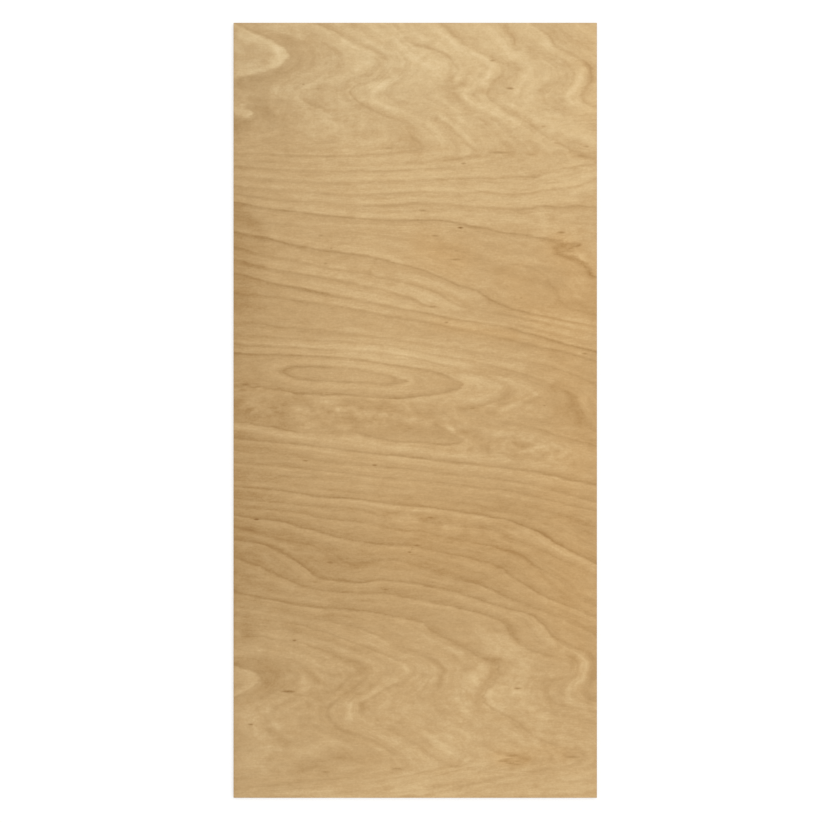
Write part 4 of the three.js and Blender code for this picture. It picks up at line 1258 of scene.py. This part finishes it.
def long_grain_material():
    """Sawn edge of a veneer whose grain runs along it: pale, with long fibres."""
    material, tree, shader = blank_material("birch_long_grain_sawn", 0.66)
    place = add(tree, "TexCoord").outputs["Object"]
    tone = add_up(tree, [marks(tree, place, (30, 30, 0.4), 7.0, detail=3.0),
                         marks(tree, place, (160, 160, 3), 4.0, seed=5.0)])
    colour = birch_tone(tree, add_up(tree, [tone, LONG_GRAIN_TONE]), 0.5)
    colour_and_relief(tree, shader, colour, tone, 0.5, 0.1 * MM, 0.03)
    return material


def end_grain_material():
    """Sawn end grain of a veneer: browner, because open pores drink the light, and rougher."""
    material, tree, shader = blank_material("birch_end_grain_sawn", 0.8)
    place = add(tree, "TexCoord").outputs["Object"]
    tone = add_up(tree, [marks(tree, place, (1.2, 1.2, 0.7), 10.0, detail=3.0),
                         marks(tree, place, (90, 90, 2), 5.0, seed=5.0)])
    colour = birch_tone(tree, add_up(tree, [tone, END_GRAIN_TONE]), 0.5)
    colour_and_relief(tree, shader, colour, tone, 0.6, 0.15 * MM, 0.03)
    return material


def glue_material():
    """Cured brown phenolic glue, seen as a hair line between two plies."""
    material, tree, shader = blank_material("phenolic_glue_line", 0.45)
    place = add(tree, "TexCoord").outputs["Object"]
    speckle = marks(tree, place, (6, 6, 2), 0.4)
    ramp = add(tree, "ValToRGB", {"Fac": speckle}, [(0.0, "#4a3323"), (1.0, "#6d4d33")])
    tree.links.new(ramp.outputs[0], shader.inputs["Base Color"])
    return material


# --- Camera, floor and light -------------------------------------------------------------------

IMAGE_SIDE = 823
SHEET_MIDDLE = (415.21, 410.33)      # where the middle of the sheet falls in the image
LENS, SENSOR = 85.0, 36.0
SKY = 0.6                            # the light from all round, of which 1 shows a colour as written
LAMP = 1.67                          # watts on each square metre, which make up the rest
LAMP_LEAN, LAMP_SOFTNESS = math.radians(12), math.radians(50)
FLOOR_REACH = 60                     # metres from its middle to each side
FLOOR_GLOW, FLOOR_GREY = 1.08, 0.75  # what the camera sees it add, and what it gives back to the sheet


def set_camera():
    """A camera straight above the sheet, level with its sides."""
    camera = bpy.data.cameras.new("camera")
    camera.lens, camera.sensor_width = LENS, SENSOR
    camera.clip_end = 100
    holder = bpy.data.objects.new("camera", camera)
    view_width = IMAGE_SIDE * PITCH
    middle_x, middle_y = (SHEET_LOW[0] + SHEET_HIGH[0]) / 2, (SHEET_LOW[1] + SHEET_HIGH[1]) / 2
    holder.location = (middle_x - (SHEET_MIDDLE[0] - IMAGE_SIDE / 2) * PITCH,
                       middle_y + (SHEET_MIDDLE[1] - IMAGE_SIDE / 2) * PITCH,
                       SHEET_HIGH[2] + view_width * LENS / SENSOR)
    bpy.context.scene.collection.objects.link(holder)
    bpy.context.scene.camera = holder


def seen_directly(tree):
    """1 for rays from the camera, or by gloss or glass, and 0 for the rays that carry light."""
    rays = add(tree, "LightPath").outputs
    passed_on = (rays["Is Glossy Ray"], rays["Is Transmission Ray"])
    mirrored = add(tree, "Math", passed_on, operation="MAXIMUM")
    return add(tree, "Math", (rays["Is Camera Ray"], mirrored), operation="MAXIMUM")


def lay_floor():
    """A level pale floor that looks white and keeps a soft shadow."""
    bm = bmesh.new()
    bmesh.ops.create_grid(bm, x_segments=1, y_segments=1, size=FLOOR_REACH)
    mesh = bpy.data.meshes.new("floor")
    bm.to_mesh(mesh)
    bm.free()
    floor = bpy.data.objects.new("floor", mesh)
    bpy.context.scene.collection.objects.link(floor)
    material = bpy.data.materials.new("floor_matt_white")
    material.use_nodes = True
    tree = material.node_tree
    tree.nodes.clear()
    lit = add(tree, "BsdfDiffuse", {"Color": (1, 1, 1, 1)})
    plain = add(tree, "BsdfDiffuse", {"Color": (FLOOR_GREY, FLOOR_GREY, FLOOR_GREY, 1)})
    glow = add(tree, "Emission", {"Strength": FLOOR_GLOW})
    white = add(tree, "MixShader", (0.5, lit, glow))
    shown = add(tree, "MixShader", (seen_directly(tree), plain, white))
    add(tree, "OutputMaterial", {"Surface": shown})
    mesh.materials.append(material)


def light_up():
    """An even white sky and one very soft lamp near overhead: together they show colours as written."""
    world = bpy.data.worlds.new("sky")
    bpy.context.scene.world = world
    world.use_nodes = True
    tree = world.node_tree
    tree.nodes.clear()
    even = add(tree, "Background", {"Strength": SKY})
    white = add(tree, "Background", {"Strength": 1.0})
    shown = add(tree, "MixShader", (seen_directly(tree), even, white))
    add(tree, "OutputWorld", {"Surface": shown})
    lamp = bpy.data.lights.new("soft_lamp", "SUN")
    lamp.angle = LAMP_SOFTNESS
    lamp.energy = LAMP
    holder = bpy.data.objects.new("soft_lamp", lamp)
    holder.rotation_euler = (-LAMP_LEAN, LAMP_LEAN, 0)
    bpy.context.scene.collection.objects.link(holder)
    bpy.context.scene.view_settings.view_transform = "Standard"


# --- The whole sheet ---------------------------------------------------------------------------

def main():
    """Sets the stage, then builds and dresses the sheet."""
    set_camera()
    lay_floor()
    light_up()
    sheet = build_sheet()
    write_fields(sheet)
    for material in (veneer_material(), long_grain_material(), end_grain_material(), glue_material()):
        sheet.data.materials.append(material)
    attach(sheet, "root")
    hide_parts("plywood_sheet")


main()
